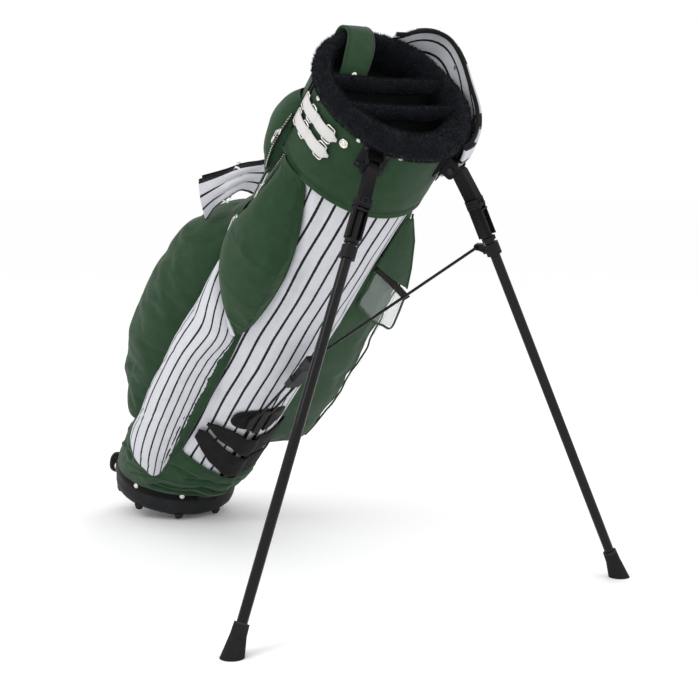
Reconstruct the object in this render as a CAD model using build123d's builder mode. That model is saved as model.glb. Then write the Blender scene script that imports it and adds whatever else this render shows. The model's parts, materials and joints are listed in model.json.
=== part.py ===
"""Golf stand bag, deployed: leaning on two splayed legs. Millimetres, +Z up, floor at Z = 0.

The bag has its own frame: X points to the legs' side (the front), Y to the bag's right, Z up the
tube. Points written (front, right, up) are in that frame, whose origin is the base ring's centre.
"""
import os
from math import atan2, cos, degrees, radians, sin

from build123d import *

# ---- stance -------------------------------------------------------------------------------
lean = 45.8                     # tube axis from the vertical
base_tilt = 15.7                # base plate from the horizontal, heel up
base_x = -317.8                 # base ring centre, so that the whole bag is centred on X = 0

# ---- tube and mouth -----------------------------------------------------------------------
tube_r = 98.0
tube_wall = 3.0
tube_low = 108.0
tube_top = 849.8
cuff_r = 103.5
cuff_low = 729.0
rim_height = 850.0
bar_front = (-20.0, 31.0)       # where the two dividing bars stand, front of the axis
handle_y = -12.0                # middle of the lifting handle
gap = 0.4                       # clearance between a soft piece and its neighbour
panel_angle = -73.0             # middle of the teardrop panel
panel_r = 126.0                 # its outer face

# ---- base ---------------------------------------------------------------------------------
base_r = 101.5
shell_depth = 27.0
ring_height = 14.0
cleat_height = 11.0
cleat_r = 6.0
cleat_circle = 92.0
cleat_angles = (-157.5, -112.5, -67.5, -22.5, 22.5, 67.5, 112.5, 157.5)
pivot_y = 81.0                  # side pivots of the base, each side of the axis
pivot_r = 3.0

# ---- legs, in each leg's swing plane (out from the pivot, up along the tube) ---------------
pivot = (100.0, 66.0, 815.0)    # right leg's pivot, in the bag's frame
splay = 28.3                    # swing plane, turned out from the front
leg_slope = -34.7               # leg tube's direction in the swing plane
collar_at = (99.8, -57.0)       # collar centre in the swing plane
leg_r = 6.6
leg_wall = 1.2
tube_start = -66.0              # leg tube's top end, along the leg from the collar
foot_reach = 496.0              # sole, along the leg from the collar
ear_along = -7.0                # push rod's eye, along the leg from the collar
ear_off = 21.0                  # and off the leg's axis, towards the bag
head_half = 6.8                 # half the leg head's width

# ---- push rods, yoke and U-rod --------------------------------------------------------------
rod_r = 2.0
rod_foot = (130.0, 10.0, 490.0)  # right rod's lower end
wire_y = 8.6                    # U-rod's legs, each side of the middle
wire_front = 100.7              # where they run along the tube
wire_bend = 291.0               # and where they leave it
yoke_low = (119.0, 0.0, 403.0)
yoke_top = (130.0, 0.0, 490.0)

base_z = (sin(radians(base_tilt)) * (cleat_circle * cos(radians(22.5)) + cleat_r)
          + cos(radians(base_tilt)) * (shell_depth + cleat_height))

os.makedirs("parts", exist_ok=True)


def tilted(angle):
    """The frame at the base ring's centre whose Z leans forward by angle."""
    a = radians(angle)
    return Plane(origin=(base_x, 0, base_z), x_dir=(cos(a), 0, -sin(a)), z_dir=(sin(a), 0, cos(a)))


bag = tilted(lean)
base = tilted(base_tilt)


def spot(front, right, up):
    """A point of the bag's frame in the object's frame."""
    return bag.from_local_coords(Vector(front, right, up))


def polar(radius, angle):
    """A point at an angle from the front, turning to the right."""
    return (radius * cos(radians(angle)), radius * sin(radians(angle)))


def save(part, name):
    part.label = name
    export_step(part, f"parts/{name}.step")


def wall_band(inner, outer, start, end, low, high):
    """A strip that follows the tube's surface between two angles and two heights."""
    with BuildPart() as band:
        with BuildSketch(bag.offset(low)):
            with BuildLine():
                CenterArc((0, 0), outer, start, end - start)
                Line(polar(outer, end), polar(inner, end))
                CenterArc((0, 0), inner, end, start - end)
                Line(polar(inner, start), polar(outer, start))
            make_face()
        extrude(amount=high - low)
    return band.part


def sleeve(inner, outer, low, high, frame=bag):
    """A round sleeve about the frame's axis."""
    with BuildPart() as tube:
        with BuildSketch(frame.offset(low)):
            Circle(outer)
            Circle(inner, mode=Mode.SUBTRACT)
        extrude(amount=high - low)
    return tube.part


def side_plane(angle, radius, up):
    """A plane on the tube's side whose Z points away from the tube's axis and Y up the tube."""
    out = bag.from_local_coords(Vector(*polar(1, angle), 0)) - bag.origin
    return Plane(origin=spot(*polar(radius, angle), up), x_dir=out.cross(bag.z_dir) * -1, z_dir=out)


def bulge(stations, grow=0.0):
    """A soft bulge lofted through (up, angle, width, reach) stations on the tube's side."""
    with BuildPart() as swell:
        for up, angle, width, reach in stations:
            place = Plane(origin=spot(*polar(tube_r, angle), up),
                          x_dir=spot(*polar(1, angle), 0) - bag.origin, z_dir=bag.z_dir)
            with BuildSketch(place):
                Ellipse(reach - tube_r + grow, width / 2 + grow)
        loft(ruled=True)
    return swell.part


def pocket(stations, clear_r=tube_r + gap, cut=()):
    """A pocket outside the tube, cut back from its neighbours' solids."""
    with BuildPart() as pouch:
        add(bulge(stations))
        with BuildSketch(bag.offset(stations[0][0] - 20)):
            Circle(clear_r)
        extrude(amount=stations[-1][0] - stations[0][0] + 40, mode=Mode.SUBTRACT)
        for other in cut:
            add(other, mode=Mode.SUBTRACT)
    return pouch.part.solids().sort_by(SortBy.VOLUME)[-1]


def panel_form(grow=0.0):
    """The teardrop panel: a pad that follows the tube from under the cuff to its low tip."""
    with BuildPart() as pad:
        with BuildSketch(side_plane(panel_angle, 40, 0)):
            with BuildLine():
                Spline((-10, 724), (34, 649), (50, 572), (33, 454))
                Spline((33, 454), (-24, 519), (-46, 592), (-38, 670), (-10, 724))
            make_face()
            offset(amount=grow)
        extrude(amount=120)
        with BuildSketch(bag.offset(430)):
            Circle(panel_r + grow)
        extrude(amount=320, mode=Mode.INTERSECT)
        with BuildSketch(bag.offset(430)):
            Circle(tube_r + gap)
        extrude(amount=320, mode=Mode.SUBTRACT)
    return pad.part


# ================================ base ======================================================
with BuildPart() as base_shell:
    with BuildSketch(base.offset(-shell_depth)):
        Circle(base_r - 2)
    extrude(amount=shell_depth - gap)
    fillet(base_shell.edges().group_by(Axis(base.origin, base.z_dir))[0], 8)
    with BuildSketch(base.offset(-shell_depth + 5)):
        Circle(base_r - 8)
    extrude(amount=shell_depth, mode=Mode.SUBTRACT)
    with BuildSketch(base.offset(-shell_depth + 5)):
        Circle(94.0)
        Circle(91.0, mode=Mode.SUBTRACT)
    extrude(amount=shell_depth - 5 + ring_height)
    for side in (-1, 1):
        lug = Plane(origin=base.from_local_coords(Vector(0, side * pivot_y - 2.5, 0)),
                    x_dir=base.x_dir, z_dir=(0, 1, 0))
        with BuildSketch(lug):
            Circle(9)
            with Locations((0, (shell_depth - 5) / 2)):
                Rectangle(18, shell_depth - 5)
        extrude(amount=5)
        with BuildSketch(lug):
            Circle(pivot_r)
        extrude(amount=5, mode=Mode.SUBTRACT)
save(base_shell.part, "base_shell")

save(sleeve(97.6, base_r, 0, ring_height, base), "base_ring")

with BuildPart() as base_rivets:
    for index in range(8):
        out = base.from_local_coords(Vector(*polar(1, 22.5 + 45 * index), 0)) - base.origin
        seat = base.from_local_coords(Vector(*polar(base_r, 22.5 + 45 * index), 7))
        with BuildSketch(Plane(origin=seat, z_dir=out)):
            Circle(4.2)
        extrude(amount=1.8)
save(base_rivets.part, "base_rivets")

with BuildPart() as base_cleats:
    for angle in cleat_angles:
        with BuildSketch(base.offset(-shell_depth)):
            with Locations(polar(cleat_circle, angle)):
                Circle(cleat_r)
        extrude(amount=-cleat_height, taper=12)
save(base_cleats.part, "base_cleats")

with BuildPart() as base_pivot_pins:
    for side in (-1, 1):
        with BuildSketch(Plane(origin=base.origin + Vector(0, side * 84, 0), z_dir=(0, 1, 0))):
            Circle(pivot_r - 0.02)
        extrude(amount=6.5, both=True)
save(base_pivot_pins.part, "base_pivot_pins")

with BuildPart() as rod_clip:
    clip_at = base.from_local_coords(Vector(base_r + 0.2, 0, ring_height / 2))
    with BuildSketch(Plane(origin=clip_at, z_dir=base.x_dir, x_dir=(0, 1, 0))):
        RectangleRounded(34, ring_height - 2, 3)
    extrude(amount=7)
save(rod_clip.part, "rod_clip")

with BuildPart() as base_grip:
    grip_angle = -128
    out = base.from_local_coords(Vector(*polar(1, grip_angle), 0)) - base.origin
    seat = base.from_local_coords(Vector(*polar(base_r + 0.2, grip_angle), 1))
    with BuildSketch(Plane(origin=seat, z_dir=out)):
        RectangleRounded(26, 38, 7)
    extrude(amount=11)
    fillet(base_grip.faces().sort_by(Axis(seat, out))[-1].edges(), 4)
save(base_grip.part, "base_grip")

# ================================ tube, stays and skirt ======================================
save(sleeve(tube_r - tube_wall, tube_r, tube_low, tube_top), "tube_shell")
save(sleeve(91.2, 94.7, tube_low + 14, tube_low + 30), "lower_hoop")

with BuildPart() as side_stays:
    for side in (-1, 1):
        face = Plane(origin=spot(0, side * 86.2 - 2, 0), x_dir=bag.x_dir, z_dir=(0, 1, 0))
        with BuildSketch(face):
            Circle(8)
            with Locations((0, -(tube_top - 35) / 2)):
                Rectangle(16, tube_top - 35)
            Circle(pivot_r + 0.05, mode=Mode.SUBTRACT)
        extrude(amount=4)
save(side_stays.part, "side_stays")

save(wall_band(90.0, 94.6, 173, 187, tube_low + 32, tube_top - 35), "back_stay")

with BuildPart() as skirt:
    with BuildSketch(base.offset(ring_height + gap)):
        Circle(99.0)
    with BuildSketch(bag.offset(tube_low + 12)):
        Circle(94.2)
    loft(ruled=True)
    with BuildSketch(base.offset(ring_height + gap)):
        Circle(96.4)
    with BuildSketch(bag.offset(tube_low + 12)):
        Circle(91.6)
    loft(ruled=True, mode=Mode.SUBTRACT)
save(skirt.part, "skirt")

# ================================ mouth ======================================================
save(sleeve(tube_r + gap, cuff_r, cuff_low, tube_top), "top_cuff")
save(sleeve(cuff_r + 0.3, cuff_r + 2.2, rim_height - 11, tube_top), "rim_trim")

with BuildPart() as rim_ring:
    with BuildSketch(bag.offset(rim_height - 30)):
        Circle(94.7)
        Circle(91.0, mode=Mode.SUBTRACT)
    extrude(amount=33)
    with BuildSketch(bag.offset(rim_height)):
        Circle(cuff_r + 1)
        Circle(91.0, mode=Mode.SUBTRACT)
    extrude(amount=3)
save(rim_ring.part, "rim_ring")

with BuildPart() as fur_rim:
    section = Plane(origin=bag.origin, x_dir=bag.x_dir, z_dir=bag.y_dir * -1)
    with BuildSketch(section):
        with Locations((98, rim_height + 12.4)):
            Ellipse(12, 9)
    revolve(axis=Axis(bag.origin, bag.z_dir))
save(fur_rim.part, "fur_rim")

with BuildPart() as divider_bars:
    for front in bar_front:
        for low, height, reach in ((rim_height - 12, 14, 90.6), (rim_height + 2, 9, 85.4)):
            with BuildSketch(bag.offset(low)):
                with Locations((front, 0)):
                    Rectangle(14, 190)
                Circle(reach, mode=Mode.INTERSECT)
            extrude(amount=height)
save(divider_bars.part, "divider_bars")

with BuildPart() as divider_panels:
    for front in bar_front:
        with BuildSketch(bag.offset(tube_low + 40)):
            with Locations((front, 0)):
                Rectangle(1.6, 166)
        extrude(amount=rim_height - tube_low - 55)
save(divider_panels.part, "divider_panels")

with BuildPart() as rim_rivets:
    for angle in (-136, -92, -48, -16, 16, 48, 92, 130, 180):
        with BuildSketch(side_plane(angle, cuff_r, rim_height - 18)):
            Circle(4)
        extrude(amount=1.6)
    with BuildSketch(Plane(origin=spot(-28.4, handle_y, 846), z_dir=bag.x_dir)):
        Circle(4)
    extrude(amount=1)
save(rim_rivets.part, "rim_rivets")

with BuildPart() as snap_button:
    with BuildSketch(side_plane(-56, cuff_r, 815)):
        Circle(6)
        Circle(3.6, mode=Mode.SUBTRACT)
    extrude(amount=2)
    with BuildSketch(side_plane(-56, cuff_r, 815)):
        Circle(2)
    extrude(amount=1.6)
save(snap_button.part, "snap_button")

# the lifting handle: a webbing loop from the back of the rim to the back dividing bar
handle_path = ((-110, 822), (-111, 868), (-92, 886), (-62, 880), (-40, 862), (-32, 838))
with BuildPart() as grab_handle:
    with BuildLine():
        loop = Spline(*[spot(front, handle_y, up) for front, up in handle_path])
    with BuildSketch(Plane(origin=loop @ 0, x_dir=bag.y_dir, z_dir=loop % 0)):
        Rectangle(38, 3)
    sweep()
save(grab_handle.part, "grab_handle")

# two rings for a towel and tees, each held in a webbing tab behind the rim
ring_angles = {"left": -150, "right": 156}
ring_r = 11.8
ring_wire = 1.5
ring_stand = 4.5                # ring's plane off the cuff
with BuildPart() as ring_tabs:
    for angle in ring_angles.values():
        for low, high, inner, outer in ((818, 838, 0.2, 1.8), (831.2, 833.2, 1.8, 7.2),
                                        (821, 823, 1.8, 7.2), (821, 833.2, 7.2, 8.8)):
            with BuildSketch(side_plane(angle, cuff_r + inner, (low + high) / 2)):
                Rectangle(8, high - low)
            extrude(amount=outer - inner)
save(ring_tabs.part, "ring_tabs")

for word, angle in ring_angles.items():
    with BuildPart() as towel_ring:
        hang = side_plane(angle, cuff_r + ring_stand, 827.5)
        with BuildSketch(Plane(origin=hang.origin, x_dir=hang.z_dir, z_dir=hang.x_dir)):
            Circle(ring_wire)
        revolve(axis=Axis(hang.from_local_coords(Vector(0, -ring_r, 0)), hang.z_dir))
    save(towel_ring.part, f"towel_ring_{word}")

# ================================ legs =======================================================


def swing_plane(side):
    """A leg's swing plane: X out from the bag, Y up the tube, Z along the pivot pin."""
    out = spot(*polar(1, side * splay), 0) - bag.origin
    return Plane(origin=spot(pivot[0], side * pivot[1], pivot[2]), x_dir=out,
                 z_dir=out.cross(bag.z_dir))


def leg_point(swing, along, off=0.0, aside=0.0):
    """A point given along the leg from the collar, off its axis (up is positive), and aside."""
    a = radians(leg_slope)
    x = collar_at[0] + along * cos(a) - off * sin(a)
    y = collar_at[1] + along * sin(a) + off * cos(a)
    return swing.from_local_coords(Vector(x, y, aside))


bracket_angle = degrees(atan2(pivot[1], pivot[0]))

with BuildPart() as leg_pivot_pins:
    for side in (-1, 1):
        swing = swing_plane(side)
        for low, length, radius in ((-10.3, 20.6, 2.98), (10.3, 1.8, 4.6), (-12.1, 1.8, 4.6)):
            with BuildSketch(swing.offset(low)):
                Circle(radius)
            extrude(amount=length)
save(leg_pivot_pins.part, "leg_pivot_pins")

with BuildPart() as bracket_screws:
    for side in (-1, 1):
        for turn in (-7.8, 7.8):
            for height in (804, 830):
                angle = side * bracket_angle + turn
                with BuildSketch(side_plane(angle, cuff_r + 3.3, height)):
                    Circle(2.6)
                extrude(amount=1.2)
save(bracket_screws.part, "bracket_screws")

for side, word in ((-1, "left"), (1, "right")):
    swing = swing_plane(side)
    leg_dir = (leg_point(swing, 1) - leg_point(swing, 0)).normalized()
    off_dir = (leg_point(swing, 0, 1) - leg_point(swing, 0)).normalized()

    def leg_section(along):
        """A plane across the leg: X along the pivot pin, Y off the leg's axis."""
        return Plane(origin=leg_point(swing, along), x_dir=swing.z_dir * -1, z_dir=leg_dir)

    # bracket on the cuff: a curved plate with two cheeks and a cap over them
    middle = side * bracket_angle
    plate = wall_band(cuff_r + 0.2, cuff_r + 3.2, middle - 10, middle + 10, 797, 837)
    with BuildPart() as leg_bracket:
        add(plate)
        for cheek in (-1, 1):
            low = 7.3 if cheek > 0 else -10.3
            with BuildSketch(swing.offset(low)):
                with Locations((-8, 0)):
                    RectangleRounded(30, 25, 6)
            extrude(amount=3)
        with BuildSketch(swing.offset(-10.3)):
            with Locations((-9, 13.5)):
                Rectangle(20, 3)
        extrude(amount=20.6)
        with BuildSketch(swing.offset(-11)):
            Circle(3)
        extrude(amount=22, mode=Mode.SUBTRACT)
        with BuildSketch(bag.offset(780)):
            Circle(cuff_r + 0.2)
        extrude(amount=80, mode=Mode.SUBTRACT)
    save(leg_bracket.part, f"leg_bracket_{word}")

    # leg head: a knuckle and neck that run into a channel, open on its outer side
    with BuildPart() as leg_head:
        with BuildSketch(swing.offset(-head_half)):
            with BuildLine():
                crown = swing.to_local_coords(leg_point(swing, -70, 9.5))
                belly = swing.to_local_coords(leg_point(swing, -70, -9.5))
                Polyline((0, 7.5), (12, 8.5), (crown.X, crown.Y), (belly.X, belly.Y), (4, -7), (0, -7.5))
                ThreePointArc((0, -7.5), (-7.5, 0), (0, 7.5))
            make_face()
            Circle(3.03, mode=Mode.SUBTRACT)
        extrude(amount=2 * head_half)
        with BuildSketch(leg_section(-70.01)):
            RectangleRounded(22, 19, 4)
        extrude(amount=12)
        with BuildSketch(leg_section(-58.2)):
            RectangleRounded(20, 19, 4)
        extrude(amount=40)
        with BuildSketch(leg_section(-58.2)):
            with Locations((0, 8)):
                Rectangle(2 * leg_r + 0.8, 16)
            Circle(leg_r + 0.4)
        extrude(amount=41, mode=Mode.SUBTRACT)
        with BuildSketch(leg_section(-66.2)):
            Circle(leg_r + 0.02)
        extrude(amount=10, mode=Mode.SUBTRACT)
    save(leg_head.part, f"leg_head_{word}")

    with BuildPart() as leg_tube:
        with BuildSketch(leg_section(tube_start)):
            Circle(leg_r)
            Circle(leg_r - leg_wall, mode=Mode.SUBTRACT)
        extrude(amount=foot_reach - tube_start - 22)
    save(leg_tube.part, f"leg_tube_{word}")

    with BuildPart() as leg_ring:
        with BuildSketch(leg_section(-16.5)):
            Circle(leg_r + 2.6)
            Circle(leg_r + 0.02, mode=Mode.SUBTRACT)
        extrude(amount=4.5)
    save(leg_ring.part, f"leg_ring_{word}")

    # collar: a clamp round the tube with an ear for the push rod
    ear = swing.to_local_coords(leg_point(swing, ear_along, -ear_off))
    with BuildPart() as leg_collar:
        with BuildSketch(leg_section(-8)):
            Circle(leg_r + 3.4)
        extrude(amount=16)
        with BuildSketch(swing.offset(-2.5)):
            root_a = swing.to_local_coords(leg_point(swing, -8, -5))
            root_b = swing.to_local_coords(leg_point(swing, 8, -5))
            tip_a = swing.to_local_coords(leg_point(swing, ear_along - 4.6, -ear_off))
            tip_b = swing.to_local_coords(leg_point(swing, ear_along + 4.6, -ear_off))
            with BuildLine():
                Polyline((root_a.X, root_a.Y), (tip_a.X, tip_a.Y), (tip_b.X, tip_b.Y),
                         (root_b.X, root_b.Y), close=True)
            make_face()
            with Locations((ear.X, ear.Y)):
                Circle(4.6)
        extrude(amount=5)
        with BuildSketch(swing.offset(-3)):
            with Locations((ear.X, ear.Y)):
                Circle(rod_r + 0.05)
        extrude(amount=6, mode=Mode.SUBTRACT)
        with BuildSketch(leg_section(-9)):
            Circle(leg_r + 0.02)
        extrude(amount=18, mode=Mode.SUBTRACT)
    save(leg_collar.part, f"leg_collar_{word}")

    sole = leg_point(swing, foot_reach)
    sole_at = Vector(sole.X, sole.Y, 0)
    with BuildPart() as leg_foot:
        with BuildSketch(leg_section(foot_reach - 40)):
            Circle(leg_r + 2.6)
        with BuildSketch(leg_section(foot_reach - 26)):
            Circle(leg_r + 3.2)
        with BuildSketch(Plane(origin=sole_at)):
            Circle(14.5)
        loft(ruled=True)
        with BuildSketch(leg_section(foot_reach - 22)):
            Circle(leg_r + 0.02)
        extrude(amount=-24, mode=Mode.SUBTRACT)
    save(leg_foot.part, f"leg_foot_{word}")

    # push rod: a straight wire whose upper end is bent into the collar's ear
    foot = spot(rod_foot[0], side * rod_foot[1], rod_foot[2])
    turn = swing.from_local_coords(Vector(ear.X, ear.Y, side * 5.4))
    tip = swing.from_local_coords(Vector(ear.X, ear.Y, side * -4.2))
    with BuildPart() as push_rod:
        straight = Plane(origin=foot, z_dir=turn - foot)
        with BuildSketch(straight):
            Circle(rod_r)
        extrude(amount=(turn - foot).length)
        with BuildSketch(Plane(origin=turn, z_dir=tip - turn)):
            Circle(rod_r)
        extrude(amount=(tip - turn).length)
        with Locations(turn):
            Sphere(rod_r)
    save(push_rod.part, f"push_rod_{word}")

# ================================ yoke, U-rod and its guide ===================================
yoke_dir = spot(*yoke_top) - spot(*yoke_low)
yoke_length = yoke_dir.length
yoke_plane = Plane(origin=spot(*yoke_low), x_dir=(0, 1, 0), z_dir=yoke_dir)
with BuildPart() as slide_yoke:
    with BuildSketch(yoke_plane.offset(-10)):
        RectangleRounded(24, 10, 3)
    extrude(amount=18)
    with BuildSketch(yoke_plane.offset(8)):
        RectangleRounded(19, 11, 3)
    extrude(amount=30)
    with BuildSketch(yoke_plane.offset(38)):
        RectangleRounded(24, 10, 3)
    extrude(amount=24)
    with BuildSketch(yoke_plane.offset(62)):
        RectangleRounded(9, 9, 2)
    extrude(amount=yoke_length - 56)
    for side in (-1, 1):
        with BuildSketch(yoke_plane.offset(-11)):
            with Locations((side * wire_y, 0)):
                Circle(rod_r + 0.05)
        extrude(amount=30, mode=Mode.SUBTRACT)
save(slide_yoke.part, "slide_yoke")

ring_front = bag.to_local_coords(base.from_local_coords(Vector(base_r, 0, ring_height)))
wire_low = ring_front.Z + 24
wire_top = bag.to_local_coords(yoke_plane.from_local_coords(Vector(0, 0, 18)))
wire_knee = bag.to_local_coords(yoke_plane.from_local_coords(Vector(0, 0, -10)))
with BuildPart() as u_rod:
    with BuildLine():
        route = [spot(wire_top.X, -wire_y, wire_top.Z), spot(wire_knee.X, -wire_y, wire_knee.Z),
                 spot(wire_front, -wire_y, wire_bend), spot(wire_front, -wire_y, wire_low),
                 spot(wire_front, wire_y, wire_low), spot(wire_front, wire_y, wire_bend),
                 spot(wire_knee.X, wire_y, wire_knee.Z), spot(wire_top.X, wire_y, wire_top.Z)]
        path = FilletPolyline(*route, radius=[30, 30, 7, 7, 30, 30])
    with BuildSketch(Plane(origin=path @ 0, z_dir=path % 0)):
        Circle(rod_r)
    sweep()
save(u_rod.part, "u_rod")

# guide pad where the wires leave the sleeve: an oval with two grooves that open outwards
guide_at = spot(tube_r + gap, 0, 284)
with BuildPart() as rod_guide:
    with BuildSketch(Plane(origin=guide_at, x_dir=(0, 1, 0), z_dir=bag.x_dir)):
        Ellipse(23, 27)
    extrude(amount=7)
    for side in (-1, 1):
        with BuildSketch(Plane(origin=spot(tube_r - 1, side * wire_y, 240), x_dir=(0, 1, 0),
                               z_dir=bag.x_dir)):
            Rectangle(2 * rod_r + 1.2, 140)
        extrude(amount=30, mode=Mode.SUBTRACT)
    with BuildSketch(bag.offset(240)):
        Circle(tube_r + gap)
    extrude(amount=90, mode=Mode.SUBTRACT)
save(rod_guide.part, "rod_guide")

# two bands over the wires, with a tunnel in the middle
for low, high, word in ((138, 186, "lower"), (196, 250, "upper")):
    with BuildPart() as sleeve_band:
        add(wall_band(tube_r + gap, tube_r + 2.4, -46, 46, low, high))
        with BuildSketch(bag.offset(low)):
            with Locations((tube_r + 2, 0)):
                RectangleRounded(15, 32, 4)
        extrude(amount=high - low)
        with BuildSketch(bag.offset(low)):
            with Locations((tube_r + 1, 0)):
                RectangleRounded(12, 26, 3)
            Circle(tube_r + gap)
        extrude(amount=high - low, mode=Mode.SUBTRACT)
    save(sleeve_band.part, f"sleeve_band_{word}")

# ================================ pockets ====================================================
ball = ((106, -142, 96, 116), (170, -142, 112, 152), (290, -140, 122, 178),
        (440, -140, 120, 174), (520, -140, 108, 145), (566, -140, 88, 112))
side_left = ((94, -82, 96, 108), (160, -80, 108, 128), (300, -80, 114, 140), (440, -84, 96, 120))
purse = ((672, -124, 34, 104), (700, -124, 62, 116), (755, -122, 66, 124), (792, -120, 44, 112))

save(pocket(ball), "ball_pocket")
save(panel_form(), "panel_pocket")
with BuildPart() as side_pocket_left:
    add(pocket(side_left, cut=(bulge(ball, 1.2),)))
    add(wall_band(tube_r + gap, 108, -103, -98.5, 432, 560))
save(side_pocket_left.part, "side_pocket_left")
save(pocket(purse, clear_r=cuff_r + gap, cut=(panel_form(1),)), "valuables_pocket")

with BuildPart() as side_pocket_right:
    for up, reach, inset in ((200, 156, 14), (330, 188, 0), (560, 178, 0), (718, 112, 20)):
        with BuildSketch(bag.offset(up)):
            with Locations((0, (60 + reach) / 2)):
                RectangleRounded(146 - 2 * inset, reach - 60, 24)
    loft(ruled=True)
    with BuildSketch(bag.offset(150)):
        Circle(tube_r + gap)
    extrude(amount=620, mode=Mode.SUBTRACT)
save(side_pocket_right.part.solids().sort_by(SortBy.VOLUME)[-1], "side_pocket_right")

# front face of the right pocket: a clear window under an elastic band, and an open flap
front_face = Plane(origin=spot(77.5, 0, 0), x_dir=bag.y_dir, z_dir=bag.x_dir)
with BuildPart() as clear_window:
    with BuildSketch(front_face):
        with Locations((118, 530)):
            RectangleRounded(52, 92, 6)
    extrude(amount=1)
save(clear_window.part, "clear_window")

with BuildPart() as elastic_band:
    with BuildSketch(front_face.offset(0.2)):
        with Locations((114, 602)):
            Rectangle(66, 11, rotation=-28)
    extrude(amount=1.6)
save(elastic_band.part, "elastic_band")

with BuildPart() as pocket_flap:
    with BuildSketch(front_face.offset(0.2)):
        with BuildLine():
            Polyline((84, 700), (84, 628), (142, 598))
            Spline((142, 598), (138, 652), (84, 700))
        make_face()
    extrude(amount=2)
save(pocket_flap.part, "pocket_flap")

# ================================ zips =======================================================
zip_angle = -106.5
save(wall_band(tube_r + gap, tube_r + 2.0, zip_angle - 3.4, zip_angle + 3.4, 600, 666), "side_zip")


def zip_pull(seat):
    """A slider body with a tab that hangs down the bag from it."""
    with BuildPart() as pull:
        with BuildSketch(seat):
            RectangleRounded(8, 12, 2)
        extrude(amount=3.4)
        with BuildSketch(seat.offset(3.4)):
            with Locations((0, -11)):
                SlotOverall(30, 6, rotation=90)
        extrude(amount=1.4)
    return pull.part


save(zip_pull(side_plane(zip_angle, tube_r + 2.3, 650)), "side_zip_pull")

# ================================ straps and buckles ==========================================
with BuildPart() as shoulder_strap_right:
    add(wall_band(110, 121, 52, 145, 792, 880))
    add(wall_band(cuff_r + gap, 111, 137, 145, 800, 830))
    add(wall_band(cuff_r + gap, 111, 52, 60, 800, 830))
save(shoulder_strap_right.part, "shoulder_strap_right")

# the left strap stands out behind the bag, broad side to the left
wing_angle = -128
wing_out = spot(*polar(1, wing_angle), 0) - bag.origin
wing = Plane(origin=bag.origin, x_dir=wing_out, z_dir=wing_out.cross(bag.z_dir))
with BuildPart() as shoulder_strap_left:
    with BuildSketch(wing.offset(-5)):
        with BuildLine():
            Polyline((98.6, 668), (128, 640), (170, 582), (166, 572), (147, 546), (98.6, 604),
                     close=True)
        make_face()
    extrude(amount=10)
save(shoulder_strap_left.part, "shoulder_strap_left")

with BuildPart() as strap_buckle:
    with BuildSketch(wing.offset(-7.5)):
        with Locations((136, 603)):
            Rectangle(8, 62, rotation=53 - 90)
    extrude(amount=2.2)
    with BuildSketch(wing.offset(5.3)):
        with Locations((136, 603)):
            Rectangle(8, 62, rotation=53 - 90)
    extrude(amount=2.2)
save(strap_buckle.part, "strap_buckle")

strap_heights = (786, 813)
with BuildPart() as cuff_straps:
    for height in strap_heights:
        add(wall_band(cuff_r + 0.3, cuff_r + 2.3, -103, -62, height - 8.5, height + 8.5))
save(cuff_straps.part, "cuff_straps")

with BuildPart() as cuff_buckles:
    for height in strap_heights:
        for angle in (-90, -70):
            with BuildSketch(side_plane(angle, cuff_r + 2.6, height)):
                RectangleRounded(8, 22, 2)
                RectangleRounded(4.4, 18.4, 1, mode=Mode.SUBTRACT)
            extrude(amount=2)
save(cuff_buckles.part, "cuff_buckles")
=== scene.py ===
"""Looks for the golf stand bag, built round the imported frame.

Bag coordinates are in millimetres from the base ring's centre: X to the legs' side (the front),
Y to the bag's right, Z up the tube. Angles turn from the front towards the right.
"""
import json
import math

import bpy
import numpy as np
from mathutils import Matrix, Vector


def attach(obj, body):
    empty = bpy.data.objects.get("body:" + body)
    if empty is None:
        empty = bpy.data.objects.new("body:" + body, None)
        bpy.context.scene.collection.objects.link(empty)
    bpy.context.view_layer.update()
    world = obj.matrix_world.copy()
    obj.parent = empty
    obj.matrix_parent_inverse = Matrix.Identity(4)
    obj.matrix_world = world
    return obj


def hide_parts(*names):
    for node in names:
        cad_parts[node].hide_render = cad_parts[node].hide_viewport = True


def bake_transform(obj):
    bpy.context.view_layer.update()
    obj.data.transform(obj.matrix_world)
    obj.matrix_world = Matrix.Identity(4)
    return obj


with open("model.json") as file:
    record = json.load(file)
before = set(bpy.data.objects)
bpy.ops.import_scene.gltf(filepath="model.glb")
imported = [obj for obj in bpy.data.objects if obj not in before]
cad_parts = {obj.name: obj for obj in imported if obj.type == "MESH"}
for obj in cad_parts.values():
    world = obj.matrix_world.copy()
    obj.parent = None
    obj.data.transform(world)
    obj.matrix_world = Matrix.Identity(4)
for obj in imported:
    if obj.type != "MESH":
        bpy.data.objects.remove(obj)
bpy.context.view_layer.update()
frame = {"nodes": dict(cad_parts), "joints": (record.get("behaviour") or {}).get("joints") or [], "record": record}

# ---- the bag's frame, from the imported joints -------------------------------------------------
joint = {j["name"]: j for j in frame["joints"]}
RING = np.array(joint["base_flex"]["pos_m"])
UP = np.array(joint["yoke_slide"]["axis"])
RIGHT = np.array([0.0, 1.0, 0.0])
FRONT = np.cross(RIGHT, UP)
BASE_TILT = math.radians(15.7)
BASE_UP = np.array([math.sin(BASE_TILT), 0, math.cos(BASE_TILT)])
BASE_FRONT = np.array([math.cos(BASE_TILT), 0, -math.sin(BASE_TILT)])

# ---- sizes shared with the frame, mm ---------------------------------------------------------
TUBE_R = 98.0
CUFF_R = 103.5
RIM = 850.0
BASE_R = 101.5
RING_HEIGHT = 14.0
ZIP_ANGLE = -106.5
STRIPE_PITCH = 19.2
LEG_SLOPE = -34.7
COLLAR_AT = (99.8, -57.0)


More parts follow.
